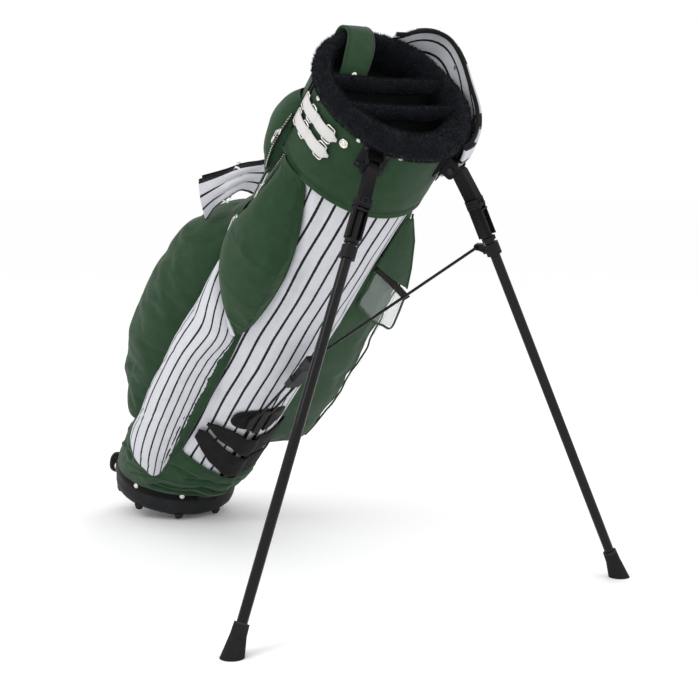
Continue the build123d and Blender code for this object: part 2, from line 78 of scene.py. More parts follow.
def spot(x, y, z):
    """Bag coordinates in mm, numbers or arrays, to points in metres."""
    x, y, z = np.broadcast_arrays(np.asarray(x, float), y, z)
    return RING + (x[..., None] * FRONT + y[..., None] * RIGHT + z[..., None] * UP) / 1000


def around(radius, angle, height):
    """Cylinder coordinates on the bag: mm, degrees, mm."""
    a = np.radians(angle)
    return spot(radius * np.cos(a), radius * np.sin(a), height)


def on_base(radius, angle, height):
    """The same about the base's own axis."""
    a = np.radians(np.asarray(angle, float))
    radius, a, height = np.broadcast_arrays(np.asarray(radius, float), a, np.asarray(height, float))
    x, y = radius * np.cos(a), radius * np.sin(a)
    return RING + (x[..., None] * BASE_FRONT + y[..., None] * RIGHT
                   + height[..., None] * BASE_UP) / 1000


def ease(x):
    x = np.clip(x, 0, 1)
    return x * x * (3 - 2 * x)


def bent(value, power):
    """A signed power, for rounded box sections."""
    return np.sign(value) * np.abs(value) ** power


def ripple(x, y, size, seed, waves=7):
    """Smooth wandering values, about -1 to 1, that vary over size mm."""
    draw = np.random.default_rng(seed)
    total = 0
    for _ in range(waves):
        turn, phase = draw.uniform(0, 2 * math.pi, 2)
        k = 2 * math.pi / size * draw.uniform(0.6, 1.5)
        total = total + np.sin(k * (x * math.cos(turn) + y * math.sin(turn)) + phase)
    return total / math.sqrt(waves) / 1.3


def fold(x, y, start, end, width, height, skew=0.0):
    """A crease or ridge from start to end, in the same units as x and y."""
    (x0, y0), (x1, y1) = start, end
    dx, dy = x1 - x0, y1 - y0
    length = math.hypot(dx, dy)
    along = ((x - x0) * dx + (y - y0) * dy) / length
    off = ((x - x0) * dy - (y - y0) * dx) / length
    off = off + skew * np.sin(along / length * math.pi) * width
    fade = ease((along + width) / (2.5 * width)) * ease((length + width - along) / (2.5 * width))
    return height * np.exp(-(off / width) ** 2) * fade


def creased(value, x, y, folds, skew=0.4, scale=1.0):
    """The value with folds added in turn; scale turns a fold's x from degrees to mm."""
    for (x0, y0), (x1, y1), width, height in folds:
        value = value + fold(x, y, (x0 * scale, y0), (x1 * scale, y1), width, height, skew)
    return value


# ================================ materials ===================================================
class Paint:
    """A material's nodes, with short ways to add and join them."""

    def __init__(self, name, colour, rough, metal=0.0):
        self.material = bpy.data.materials.new(name)
        self.material.use_nodes = True
        self.tree = self.material.node_tree
        self.shader = self.tree.nodes["Principled BSDF"]
        self.shader.inputs["Base Color"].default_value = (*colour, 1)
        self.shader.inputs["Roughness"].default_value = rough
        self.shader.inputs["Metallic"].default_value = metal
        self.height = None

    def node(self, kind, settings=None, **inputs):
        made = self.tree.nodes.new("ShaderNode" + kind)
        for key, value in (settings or {}).items():
            setattr(made, key, value)
        for key, value in inputs.items():
            self.feed(made.inputs[key.replace("_", " ")], value)
        return made

    def feed(self, socket, value):
        if isinstance(value, bpy.types.NodeSocket):
            self.tree.links.new(value, socket)
        else:
            socket.default_value = value

    def math(self, operation, first, second=0.0, third=0.0):
        made = self.tree.nodes.new("ShaderNodeMath")
        made.operation = operation
        for socket, value in zip(made.inputs, (first, second, third)):
            self.feed(socket, value)
        return made.outputs[0]

    def ramp(self, value, low, high, first, last):
        made = self.tree.nodes.new("ShaderNodeMapRange")
        for key, item in (("Value", value), ("From Min", low), ("From Max", high),
                          ("To Min", first), ("To Max", last)):
            self.feed(made.inputs[key], item)
        return made.outputs[0]

    def blend(self, factor, first, second):
        made = self.tree.nodes.new("ShaderNodeMix")
        made.data_type = "RGBA"
        self.feed(made.inputs[0], factor)
        self.feed(made.inputs[6], first if isinstance(first, bpy.types.NodeSocket) else (*first, 1))
        self.feed(made.inputs[7], second if isinstance(second, bpy.types.NodeSocket) else (*second, 1))
        return made.outputs[2]

    def place(self):
        return self.node("TexCoord").outputs["Object"]

    def cloth(self):
        return self.node("Attribute", {"attribute_name": "cloth"}).outputs["Vector"]

    def noise(self, vector, scale, detail=3.0, rough=0.5):
        made = self.node("TexNoise", Vector=vector, Scale=scale, Detail=detail, Roughness=rough)
        return made.outputs[0]

    def waves(self, vector, pitch, direction):
        """Evenly spaced threads along a direction of the vector, pitch in metres."""
        made = self.node("TexWave", {"bands_direction": direction, "wave_profile": "SIN"},
                         Vector=vector, Scale=0.314 / pitch, Distortion=0.6, Detail=1.0)
        made.inputs["Detail Scale"].default_value = 3.0
        return made.outputs[1]

    def bump(self, height, distance, strength=1.0):
        made = self.node("Bump", Height=height, Distance=distance, Strength=strength)
        if self.height is not None:
            self.feed(made.inputs["Normal"], self.height)
        self.height = made.outputs[0]
        self.feed(self.shader.inputs["Normal"], self.height)

    def set(self, **inputs):
        for key, value in inputs.items():
            self.feed(self.shader.inputs[key.replace("_", " ")], value)

    def worn(self, colour, light, amount=0.5):
        """Lighter along edges, where hands and floors rub."""
        edge = self.node("NewGeometry").outputs["Pointiness"]
        return self.blend(self.ramp(edge, 0.52, 0.6, 0.0, amount), colour, light)


def woven(name, colour, light, thread=0.0011, sheen=0.25, rough=0.86, crumple=0.0006):
    """Plain woven cloth: threads two ways, faint unevenness, soft sheen."""
    p = Paint(name, colour, rough)
    at = p.cloth()
    warp = p.waves(at, thread, "X")
    weft = p.waves(at, thread * 1.15, "Y")
    weave = p.math("MULTIPLY", p.math("SUBTRACT", warp, 0.5), p.math("SUBTRACT", weft, 0.5))
    spots = p.noise(p.place(), 55.0, 4.0, 0.6)
    fine = p.noise(p.place(), 900.0, 2.0)
    mix = p.math("ADD", p.ramp(spots, 0.3, 0.7, 0.0, 0.6), p.ramp(fine, 0.3, 0.7, -0.15, 0.35))
    tone = p.blend(mix, colour, light)
    dark = tuple(c * 0.62 for c in colour)
    tone = p.blend(p.ramp(weave, -0.25, 0.0, 0.45, 0.0), tone, dark)
    p.set(Base_Color=tone, Roughness=p.ramp(fine, 0.2, 0.8, rough - 0.08, min(rough + 0.06, 1)))
    p.set(Sheen_Weight=sheen * 0.5, Sheen_Roughness=0.45, Specular_IOR_Level=0.18)
    p.bump(p.noise(p.place(), 42.0, 4.0, 0.55), crumple)
    p.bump(weave, 0.00022)
    return p


def pinstripe(name):
    """White woven cloth with thin dark stripes along the piece, across = cloth X."""
    p = woven(name, (0.56, 0.57, 0.61), (0.66, 0.67, 0.71), sheen=0.06, rough=0.78)
    tone = p.shader.inputs["Base Color"].links[0].from_socket
    across = p.node("SeparateXYZ", Vector=p.cloth()).outputs[0]
    wobble = p.ramp(p.noise(p.place(), 300.0), 0.3, 0.7, -0.012, 0.012)
    turn = p.math("FRACT", p.math("ADD", p.math("DIVIDE", across, STRIPE_PITCH / 1000), wobble))
    off = p.math("ABSOLUTE", p.math("SUBTRACT", turn, 0.5))
    stripe = p.ramp(off, 0.088, 0.102, 1.0, 0.0)
    p.set(Base_Color=p.blend(stripe, tone, (0.012, 0.012, 0.014)))
    return p


def moulded(name, colour, light, rough=0.5, grain=700.0):
    """Moulded plastic or rubber with a fine grain and lighter worn edges."""
    p = Paint(name, colour, rough)
    grains = p.noise(p.place(), grain, 3.0)
    stains = p.noise(p.place(), 35.0, 4.0, 0.65)
    tone = p.blend(p.ramp(stains, 0.35, 0.7, 0.0, 0.5), colour, light)
    p.set(Base_Color=p.worn(tone, tuple(min(1, c * 2 + 0.006) for c in light), 0.45))
    p.set(Roughness=p.ramp(stains, 0.3, 0.7, rough - 0.08, rough + 0.12), Specular_IOR_Level=0.07)
    p.bump(grains, 0.00012)
    return p


def plated(name, colour=(0.78, 0.76, 0.72), rough=0.2):
    p = Paint(name, colour, rough, 1.0)
    scratch = p.node("Mapping", Vector=p.place(), Scale=(60.0, 900.0, 300.0)).outputs[0]
    marks = p.noise(scratch, 1.0, 3.0)
    cloud = p.noise(p.place(), 90.0, 3.0)
    p.set(Roughness=p.ramp(marks, 0.3, 0.7, rough - 0.06, rough + 0.14))
    p.set(Base_Color=p.blend(p.ramp(cloud, 0.35, 0.7, 0.0, 1.0), colour, tuple(c * 0.8 for c in colour)))
    p.bump(marks, 0.00003)
    return p


GREEN = (0.014, 0.042, 0.017)
GREEN_LIGHT = (0.023, 0.060, 0.026)
canvas = woven("green_canvas", GREEN, GREEN_LIGHT).material
canvas_deep = woven("green_canvas_deep", (0.015, 0.040, 0.017), (0.023, 0.056, 0.025)).material
striped = pinstripe("pinstripe_cloth").material
webbing = woven("black_webbing", (0.004, 0.004, 0.0045), (0.010, 0.010, 0.011), 0.0016, 0.04).material
lining = woven("dark_lining", (0.010, 0.011, 0.012), (0.02, 0.021, 0.022), 0.0014, 0.1, 0.95).material
thread = woven("dark_thread", (0.010, 0.022, 0.010), (0.02, 0.035, 0.02), 0.0007, 0.1, 0.7).material
thread_black = woven("black_thread", (0.008, 0.008, 0.008), (0.03, 0.03, 0.03), 0.0007, 0.1, 0.7).material
leather = woven("white_leather", (0.62, 0.61, 0.60), (0.70, 0.70, 0.69), 0.0006, 0.0, 0.5).material
white_cord = woven("white_piping", (0.62, 0.62, 0.64), (0.72, 0.72, 0.74), 0.0009, 0.1, 0.6).material
black_plastic = moulded("black_plastic", (0.004, 0.004, 0.0045), (0.009, 0.009, 0.010), 0.4).material
grey_plastic = moulded("grey_plastic", (0.016, 0.0165, 0.018), (0.028, 0.029, 0.031), 0.46).material
rubber = moulded("black_rubber", (0.012, 0.012, 0.012), (0.03, 0.03, 0.03), 0.75, 400.0).material
nickel = plated("bright_nickel").material
zip_metal = plated("zip_metal", (0.6, 0.59, 0.57), 0.3).material
dark_metal = plated("dark_metal", (0.035, 0.035, 0.037), 0.35).material
gloss_plastic = moulded("gloss_black_plastic", (0.006, 0.006, 0.007), (0.012, 0.012, 0.013), 0.22).material

tube_paint = Paint("gloss_black_tube", (0.004, 0.004, 0.0045), 0.14)
tube_paint.set(Coat_Weight=0.14, Coat_Roughness=0.04, Specular_IOR_Level=0.08)
smear = tube_paint.noise(tube_paint.place(), 25.0, 4.0)
tube_paint.set(Roughness=tube_paint.ramp(smear, 0.3, 0.7, 0.1, 0.24))
tube_paint.set(Base_Color=tube_paint.worn((0.004, 0.004, 0.0045), (0.03, 0.03, 0.03), 0.2))
tube_paint.bump(tube_paint.noise(tube_paint.place(), 400.0), 0.00002)
gloss_tube = tube_paint.material

fur_paint = Paint("black_fur", (0.006, 0.008, 0.012), 0.8)
fur_spots = fur_paint.noise(fur_paint.place(), 60.0, 4.0, 0.7)
fur_paint.set(Base_Color=fur_paint.blend(fur_paint.ramp(fur_spots, 0.35, 0.7, 0.0, 1.0),
                                         (0.0025, 0.003, 0.005), (0.007, 0.009, 0.014)))
fur_paint.set(Sheen_Weight=0.08, Sheen_Roughness=0.5, Specular_IOR_Level=0.08)
fur_paint.bump(fur_paint.noise(fur_paint.place(), 500.0, 4.0), 0.0006)
fur = fur_paint.material

vinyl_paint = Paint("clear_vinyl", (0.30, 0.36, 0.33), 0.12)
vinyl_paint.set(Alpha=0.22, Coat_Weight=0.6, Coat_Roughness=0.05, IOR=1.5)
vinyl_paint.bump(vinyl_paint.noise(vinyl_paint.place(), 30.0, 3.0), 0.002)
vinyl_cloud = vinyl_paint.noise(vinyl_paint.place(), 45.0, 3.0)
vinyl_paint.set(Roughness=vinyl_paint.ramp(vinyl_cloud, 0.3, 0.7, 0.06, 0.2))
vinyl = vinyl_paint.material


# ================================ geometry helpers ============================================
def add_piece(name, points, faces, material, body="bag", slot=None, stands_for=(), cloth=None, smooth=True):
    """One mesh piece that rides on a body. points are in metres."""
    mesh = bpy.data.meshes.new(name)
    mesh.from_pydata([tuple(q) for q in np.asarray(points, float).reshape(-1, 3)], [], faces)
    mesh.update()
    piece = bpy.data.objects.new(name, mesh)
    bpy.context.scene.collection.objects.link(piece)
    mesh.materials.append(material)
    if smooth:
        mesh.polygons.foreach_set("use_smooth", [True] * len(mesh.polygons))
    if cloth is None:
        q = (np.asarray(points, float).reshape(-1, 3) - RING)
        cloth = np.stack([q @ RIGHT + q @ FRONT, q @ UP, 0 * (q @ UP)], 1)
    at = mesh.attributes.new("cloth", "FLOAT_VECTOR", "POINT")
    at.data.foreach_set("vector", np.asarray(cloth, np.float32).reshape(-1))
    if body:
        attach(piece, body)
    if stands_for:
        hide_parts(*stands_for)
    return piece


def grid_faces(rows, columns, closed=False, first=0):
    """Quads over rows x columns points; closed joins the last row to the first."""
    faces = []
    for i in range(rows if closed else rows - 1):
        for j in range(columns - 1):
            a, b = i * columns + j, ((i + 1) % rows) * columns + j
            faces.append((first + a, first + b, first + b + 1, first + a + 1))
    return faces


def skin_faces(rows, count, looped=False):
    """Quads round rows rings of count points, with end caps unless the last row meets the first."""
    faces = []
    for i in range(rows if looped else rows - 1):
        for j in range(count):
            k, after = (j + 1) % count, (i + 1) % rows
            faces.append((i * count + j, i * count + k, after * count + k, after * count + j))
    if not looped:
        faces.append(tuple(range(count))[::-1])
        faces.append(tuple((rows - 1) * count + j for j in range(count)))
    return faces


def patch(name, points, material, body="bag", thick=0.0, closed=False, cloth=None, **more):
    """A sheet of rows x columns points, thickened inwards by thick mm."""
    rows, columns = points.shape[:2]
    piece = add_piece(name, points, grid_faces(rows, columns, closed), material, body,
                      cloth=cloth, **more)
    if thick:
        solid = piece.modifiers.new("thickness", "SOLIDIFY")
        solid.thickness = thick / 1000
        solid.offset = -1
        solid.use_even_offset = False
    return piece


def settle(piece):
    """Applies the piece's modifiers to its mesh."""
    held = bpy.context.evaluated_depsgraph_get()
    mesh = bpy.data.meshes.new_from_object(piece.evaluated_get(held))
    piece.modifiers.clear()
    piece.data = mesh
    return piece


def inflate(piece, held, pressure=4.0, cap=6.0, slack=0.0, frames=20):
    """Swells the sheet like cloth held at its marked points; no point moves over cap mm."""
    scene = bpy.context.scene
    count = len(piece.data.vertices)
    rest = np.zeros(count * 3)
    piece.data.vertices.foreach_get("co", rest)
    group = piece.vertex_groups.new(name="held")
    group.add([int(i) for i in held], 1.0, "ADD")
    cloth = piece.modifiers.new("swell", "CLOTH")
    work = cloth.settings
    work.vertex_group_mass = "held"
    work.use_pressure = True
    work.uniform_pressure_force = pressure
    work.effector_weights.gravity = 0
    work.shrink_min = -slack
    work.quality = 4
    work.mass = 0.25
    work.tension_stiffness = 20
    work.compression_stiffness = 20
    work.bending_stiffness = 0.8
    cloth.point_cache.frame_start = 1
    cloth.point_cache.frame_end = frames
    for number in range(1, frames + 1):
        scene.frame_set(number)
    shaped = piece.evaluated_get(bpy.context.evaluated_depsgraph_get())
    after = np.zeros(count * 3)
    shaped.data.vertices.foreach_get("co", after)
    piece.modifiers.remove(cloth)
    piece.vertex_groups.remove(group)
    move = (after - rest).reshape(-1, 3)
    size = np.linalg.norm(move, axis=1, keepdims=True)
    limit = cap / 1000
    move *= np.where(size > 1e-9, limit * np.tanh(size / limit) / np.maximum(size, 1e-9), 0)
    piece.data.vertices.foreach_set("co", (rest.reshape(-1, 3) + move).reshape(-1))
    piece.data.update()
    scene.frame_set(1)


def smooth_path(points, count):
    """A Catmull-Rom curve through the points, evenly spaced."""
    p = np.asarray(points, float)
    p = np.vstack([2 * p[0] - p[1], p, 2 * p[-1] - p[-2]])
    dense = []
    for i in range(1, len(p) - 2):
        t = np.linspace(0, 1, 24, endpoint=False)[:, None]
        a, b, c, d = p[i - 1], p[i], p[i + 1], p[i + 2]
        dense.append(0.5 * (2 * b + (c - a) * t + (2 * a - 5 * b + 4 * c - d) * t ** 2
                            + (3 * b - a - 3 * c + d) * t ** 3))
    dense = np.vstack(dense + [p[-2][None]])
    run = np.concatenate([[0], np.cumsum(np.linalg.norm(np.diff(dense, axis=0), axis=1))])
    wanted = np.linspace(0, run[-1], count)
    return np.stack([np.interp(wanted, run, dense[:, k]) for k in range(3)], 1)


def sides_of(path, outward):
    """Tangent, outward and sideways directions along a path."""
    along = np.gradient(path, axis=0)
    along /= np.linalg.norm(along, axis=1, keepdims=True)
    out = outward - np.sum(outward * along, axis=1, keepdims=True) * along
    out /= np.linalg.norm(out, axis=1, keepdims=True)
    return along, out, np.cross(along, out)


def outward_from_tube(path):
    q = path - RING
    q = q - np.outer(q @ UP, UP)
    return q / np.linalg.norm(q, axis=1, keepdims=True)


def swept(name, path, outward, section, material, body="bag", **more):
    """A section of (across, out) mm points carried along a path."""
    _, out, side = sides_of(path, outward)
    section = np.asarray(section, float) / 1000
    points = path[:, None] + side[:, None] * section[None, :, 0:1] + out[:, None] * section[None, :, 1:2]
    n, m = points.shape[:2]
    run = np.concatenate([[0], np.cumsum(np.linalg.norm(np.diff(path, axis=0), axis=1))])
    cloth = np.zeros((n, m, 3))
    cloth[..., 0] = section[None, :, 0]
    cloth[..., 1] = run[:, None]
    return add_piece(name, points, skin_faces(n, m), material, body, cloth=cloth, **more)


def ring_section(radius, count=10, flat=1.0):
    a = np.linspace(0, 2 * math.pi, count, endpoint=False)
    return np.stack([radius * np.cos(a), radius * flat * np.sin(a)], 1)


def strap_section(width, thick):
    """A flat strap's section with soft edges."""
    w, t = width / 2, thick
    return [(-w, 0.35 * t), (-w * 0.96, 0), (w * 0.96, 0), (w, 0.35 * t), (w * 0.97, 0.85 * t),
            (w * 0.6, t), (0, t * 1.06), (-w * 0.6, t), (-w * 0.97, 0.85 * t)]


def merge(name, parts, material, body="bag", **more):
    """Many small (points, faces) parts as one piece."""
    points, faces, first = [], [], 0
    for p, f in parts:
        points.append(p)
        faces += [tuple(first + i for i in face) for face in f]
        first += len(p)
    return add_piece(name, np.vstack(points), faces, material, body, **more)


def lathed(centre, axis, profile, count=24):
    """Points and faces of a turned form; profile is (radius, height) mm, closed at its ends."""
    axis = np.asarray(axis, float) / np.linalg.norm(axis)
    first = np.cross(axis, [0.3, 0.9, 0.2])
    first /= np.linalg.norm(first)
    second = np.cross(axis, first)
    a = np.linspace(0, 2 * math.pi, count, endpoint=False)
    points = []
    for radius, height in profile:
        points.append(centre + (np.outer(np.cos(a), first) + np.outer(np.sin(a), second))
                      * radius / 1000 + axis * height / 1000)
    return np.vstack(points), skin_faces(len(profile), count)


def bar(start, end, out, width, thick, crown=0.0):
    """Points and faces of a small rounded bar between two points."""
    start, end = np.asarray(start, float), np.asarray(end, float)
    along = (end - start) / np.linalg.norm(end - start)
    out = out - (out @ along) * along
    out /= np.linalg.norm(out)
    side = np.cross(along, out)
    points = []
    for place, share in ((start, 0.55), (start + along * width * 0.0004, 1.0),
                         (end - along * width * 0.0004, 1.0), (end, 0.55)):
        for x, y in ((-0.5, 0.1), (-0.38, 0), (0.38, 0), (0.5, 0.1), (0.5, 0.75), (0.36, 1.0),
                     (0, 1.0 + crown), (-0.36, 1.0), (-0.5, 0.75)):
            points.append(place + side * x * width * share / 1000 + out * y * thick * share / 1000)
    return np.array(points), skin_faces(4, 9)


def stitch_row(path, outward, step=4.2, share=0.62, size=0.55):
    """A row of short thread stitches along a path, each a small crowned bar."""
    run = np.concatenate([[0], np.cumsum(np.linalg.norm(np.diff(path, axis=0), axis=1))]) * 1000
    count = max(2, int(run[-1] / step))
    parts = []
    for i in range(count):
        ends = []
        for d in (i * step, i * step + share * step):
            q = np.array([np.interp(d, run, path[:, k]) for k in range(3)])
            o = np.array([np.interp(d, run, outward[:, k]) for k in range(3)])
            ends.append((q, o))
        (a, out), (b, _) = ends
        if np.linalg.norm(b - a) > 1e-5:
            parts.append(bar(a, b, out, size, size * 0.8, 0.2))
    return parts


def hair(name, roots, normals, length, width, seed, droop, **more):
    """A pile of short slanting hairs, each a thin closed point."""
    draw = np.random.default_rng(seed)
    count = len(roots)
    lean = normals + draw.normal(0, 0.42, (count, 3)) + droop
    lean /= np.linalg.norm(lean, axis=1, keepdims=True)
    tips = roots + lean * (length * draw.uniform(0.65, 1.15, (count, 1))) / 1000
    a = np.cross(lean, draw.normal(0, 1, (count, 3)))
    a /= np.linalg.norm(a, axis=1, keepdims=True)
    b = np.cross(lean, a)
    w = width / 1000
    feet = roots - normals * 0.0008
    points = np.stack([feet + a * w, feet - a * w * 0.5 + b * w * 0.87,
                       feet - a * w * 0.5 - b * w * 0.87, tips], 1)
    faces = []
    for i in range(count):
        k = 4 * i
        faces += [(k, k + 1, k + 3), (k + 1, k + 2, k + 3), (k + 2, k, k + 3), (k + 2, k + 1, k)]
    return add_piece(name, points, faces, fur, smooth=False, **more)


def cloth_of(across, along):
    """Cloth coordinates in metres from mm arrays."""
    across, along = np.broadcast_arrays(across, along)
    return np.stack([across / 1000, along / 1000, 0 * along], -1)


ARC = math.pi / 180 * TUBE_R     # mm along the tube's surface per degree


# ================================ body cloth and lining =======================================
def body_offset(angle, height):
    """How far the body cloth stands off a true cylinder, in mm."""
    x = angle * ARC
    y = height
    off = 0.9 * ripple(x, y, 210, 3) + 0.35 * ripple(x, y, 60, 4)
    off = off + fold(x, y, (-70 * ARC, 722), (-52 * ARC, 560), 9, -4.2, 0.5)
    off = off + fold(x, y, (-58 * ARC, 722), (-40 * ARC, 600), 7, 2.6, 0.4)
    off = off + fold(x, y, (-44 * ARC, 726), (-34 * ARC, 520), 8, -3.0, -0.4)
    off = off + fold(x, y, (-46 * ARC, 470), (-30 * ARC, 330), 9, -2.6, 0.3)
    off = off + fold(x, y, (-36 * ARC, 560), (-24 * ARC, 380), 11, 2.0, 0.3)
    off = off + fold(x, y, (-48 * ARC, 330), (-40 * ARC, 220), 8, -2.8, 0.2)
    off = off + fold(x, y, (-20 * ARC, 720), (-12 * ARC, 560), 12, -1.6, 0.3)
    off = off + fold(x, y, (12 * ARC, 726), (6 * ARC, 600), 12, 1.4, 0.2)
    off = off + fold(x, y, (42 * ARC, 720), (30 * ARC, 520), 12, -1.8, 0.4)
    gather = ease((205 - y) / 60) * ease((angle + 62) / 12) * ease((60 - angle) / 12)
    off = off + gather * (1.3 * np.sin(x / 3.3 + 1.3 * ripple(x, y, 30, 9)) + 0.1)
    return off


angles, heights = np.meshgrid(np.linspace(0, 360, 289)[:-1], np.linspace(116, 733, 206), indexing="ij")
signed = (angles + 180) % 360 - 180
wander = 1.2 * ripple(signed * ARC, heights, 140, 5)
body_points = around(TUBE_R + body_offset(signed, heights), signed, heights)
patch("body_cloth", body_points, striped, thick=2.0, closed=True,
      stands_for=("tube_shell",), cloth=cloth_of(signed * ARC + wander, heights))

angles, heights = np.meshgrid(np.linspace(0, 360, 145)[:-1], np.linspace(120, 842, 60), indexing="ij")
patch("inner_lining", around(90.3 + 0.3 * ripple(angles * ARC, heights, 90, 6), angles, heights), lining,
      thick=0.8, closed=True, cloth=cloth_of(angles * ARC, heights))

# two cloth walls that divide the clubs
for index, front in enumerate((-20.0, 31.0)):
    across, heights = np.meshgrid(np.linspace(-83, 83, 40), np.linspace(149, 838, 90), indexing="ij")
    bow = front + 1.6 * ripple(across, heights, 120, 30 + index) * np.cos(across / 83 * math.pi / 2)
    wall = patch(f"divider_wall_{index}", spot(bow, across, heights), lining, thick=1.2,
                 cloth=cloth_of(across, heights))
    if index == 0:
        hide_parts("divider_panels")

# ================================ top cuff ====================================================
angles, heights = np.meshgrid(np.linspace(0, 360, 289)[:-1], np.linspace(727.5, 850, 90), indexing="ij")
signed = (angles + 180) % 360 - 180
x = signed * ARC
off = 0.5 * ripple(x, heights, 130, 12) + 0.25 * ripple(x, heights, 40, 13)
off = off - 0.55 * np.exp(-((heights - 736) / 1.0) ** 2) + 0.7 * ease((732 - heights) / 3)
off = off + fold(x, heights, (-80 * ARC, 742), (-40 * ARC, 756), 7, 0.9) + fold(
    x, heights, (20 * ARC, 744), (60 * ARC, 752), 8, 0.8)
patch("cuff_cloth", around(CUFF_R + off, signed, heights), canvas, thick=2.6, closed=True,
      stands_for=("top_cuff",), cloth=cloth_of(x, heights))

seams_green, seams_black = [], []


circle = np.linspace(-180, 180, 361)
for height in (735.0, 738.4):
    line = around(CUFF_R + 0.15, circle, height)
    seams_green += stitch_row(line, outward_from_tube(line), 4.4)
for angle in (-104.0, -108.5):
    line = around(CUFF_R + 0.9, np.full(60, angle), np.linspace(730, 850, 60))
    swept(f"cuff_seam_{int(-angle)}", line, outward_from_tube(line), ring_section(1.3), webbing)

# trim band under the fur
angles, heights = np.meshgrid(np.linspace(0, 360, 217)[:-1], np.linspace(838, 852, 12), indexing="ij")
bulge = 1.5 * np.sin((heights - 838) / 14 * math.pi) ** 0.6
patch("rim_band", around(CUFF_R + 1.0 + bulge + 0.2 * ripple(angles, heights, 9, 14), angles, heights),
      webbing, thick=1.4, closed=True, stands_for=("rim_trim",),
      cloth=cloth_of(angles * ARC, heights))

# ================================ fur rim and dividing bars ===================================
draw = np.random.default_rng(21)


# the roll's outline from outside over the top and down into the mouth: higher at the back
FUR_BACK = ((104, 842), (109, 851), (106, 859), (98, 861), (91, 858), (88.5, 846), (88.5, 815))
FUR_FRONT = ((105.5, 832), (113.5, 842), (109, 854), (93, 858), (78, 852), (73, 837), (83, 815))


def fur_outline(points):
    return smooth_path([(x / 10, y / 10, 0) for x, y in points], 40) * 10


back, front = fur_outline(FUR_BACK), fur_outline(FUR_FRONT)
turns, angles = np.meshgrid(np.linspace(0, 1, 40), np.linspace(0, 360, 181)[:-1], indexing="xy")
forward = (0.5 + 0.5 * np.cos(np.radians(angles)))
signed = (angles + 180) % 360 - 180
swell = 1.3 * ripple(signed * ARC, turns * 30, 60, 22) * np.sin(turns * math.pi)
radius = back[None, :, 0] * (1 - forward) + front[None, :, 0] * forward + swell * 0.8
height = back[None, :, 1] * (1 - forward) + front[None, :, 1] * forward + swell
radius = radius + 0.5 * ripple(signed * ARC, turns * 80, 14, 23)
rim_points = around(radius, angles, height)
patch("fur_rim_skin", rim_points, fur, thick=1.5, closed=True,
            stands_for=("fur_rim",), cloth=cloth_of(angles * ARC, turns * 60))


def scatter(points, count, seed, closed=True):
    """Random roots and normals on a rows x columns sheet."""
    pick = np.random.default_rng(seed)
    rows, columns = points.shape[:2]
    i = pick.uniform(0, rows if closed else rows - 1.001, count)
    j = pick.uniform(0, columns - 1.001, count)
    i0, j0 = i.astype(int), j.astype(int)
    fi, fj = (i - i0)[:, None], (j - j0)[:, None]
    i1, j1 = (i0 + 1) % rows, j0 + 1
    p00, p10, p01, p11 = points[i0, j0], points[i1, j0], points[i0, j1], points[i1, j1]
    root = (p00 * (1 - fi) + p10 * fi) * (1 - fj) + (p01 * (1 - fi) + p11 * fi) * fj
    normal = np.cross(p10 - p00, p01 - p00)
    size = np.linalg.norm(normal, axis=1, keepdims=True)
    return root, normal / np.maximum(size, 1e-12), size[:, 0]


roots, normals, _ = scatter(rim_points, 26000, 24)
centre_line = RING + np.outer((roots - RING) @ UP, UP)
radial = roots - centre_line
radial /= np.linalg.norm(radial, axis=1, keepdims=True)
core = centre_line + radial * 0.0965
core = core + np.outer(0.850 - (core - RING) @ UP, UP)
flip = np.sign(np.sum(normals * (roots - core), axis=1, keepdims=True))
flip[flip == 0] = 1
hair("fur_rim_pile", roots, normals * flip, 3.8, 0.42, 25, UP * 0.1)

for index, front in enumerate((-20.0, 31.0)):
    reach = math.sqrt(89.0 ** 2 - front ** 2) - 3
    turns, across = np.meshgrid(np.linspace(0, 2 * math.pi, 25)[:-1], np.linspace(-reach, reach, 60),
                                indexing="ij")
    sag = 3.0 * np.cos(across / reach * math.pi / 2)
    size = 1 + 0.06 * ripple(across, turns * 8, 34, 40 + index)
    bar_points = spot(front + 8.4 * np.cos(turns) * size, across, 846.5 - sag + 9.5 * np.sin(turns) * size)
    skin = patch(f"divider_roll_{index}", bar_points, fur, closed=True,
                 cloth=cloth_of(across, turns * 9))
    if index == 0:
        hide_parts("divider_bars")
    roots, normals, _ = scatter(bar_points, 6500, 42 + index)
    middle = spot(front, 0, 845) + np.outer((roots - RING) @ RIGHT, RIGHT)
    flip = np.sign(np.sum(normals * (roots - middle), axis=1, keepdims=True))
    flip[flip == 0] = 1
    hair(f"divider_pile_{index}", roots, normals * flip, 3.4, 0.4, 45 + index, UP * 0.05)

# ================================ skirt =======================================================
SKIRT_TOP = ((-180, 132), (-110, 122), (-92, 104), (-66, 100), (-55, 172), (-31, 160), (-14, 147),
             (10, 136), (40, 130), (90, 128), (180, 132))


def skirt_top(angle):
    keys, values = zip(*SKIRT_TOP)
    return np.interp(angle, keys, values)


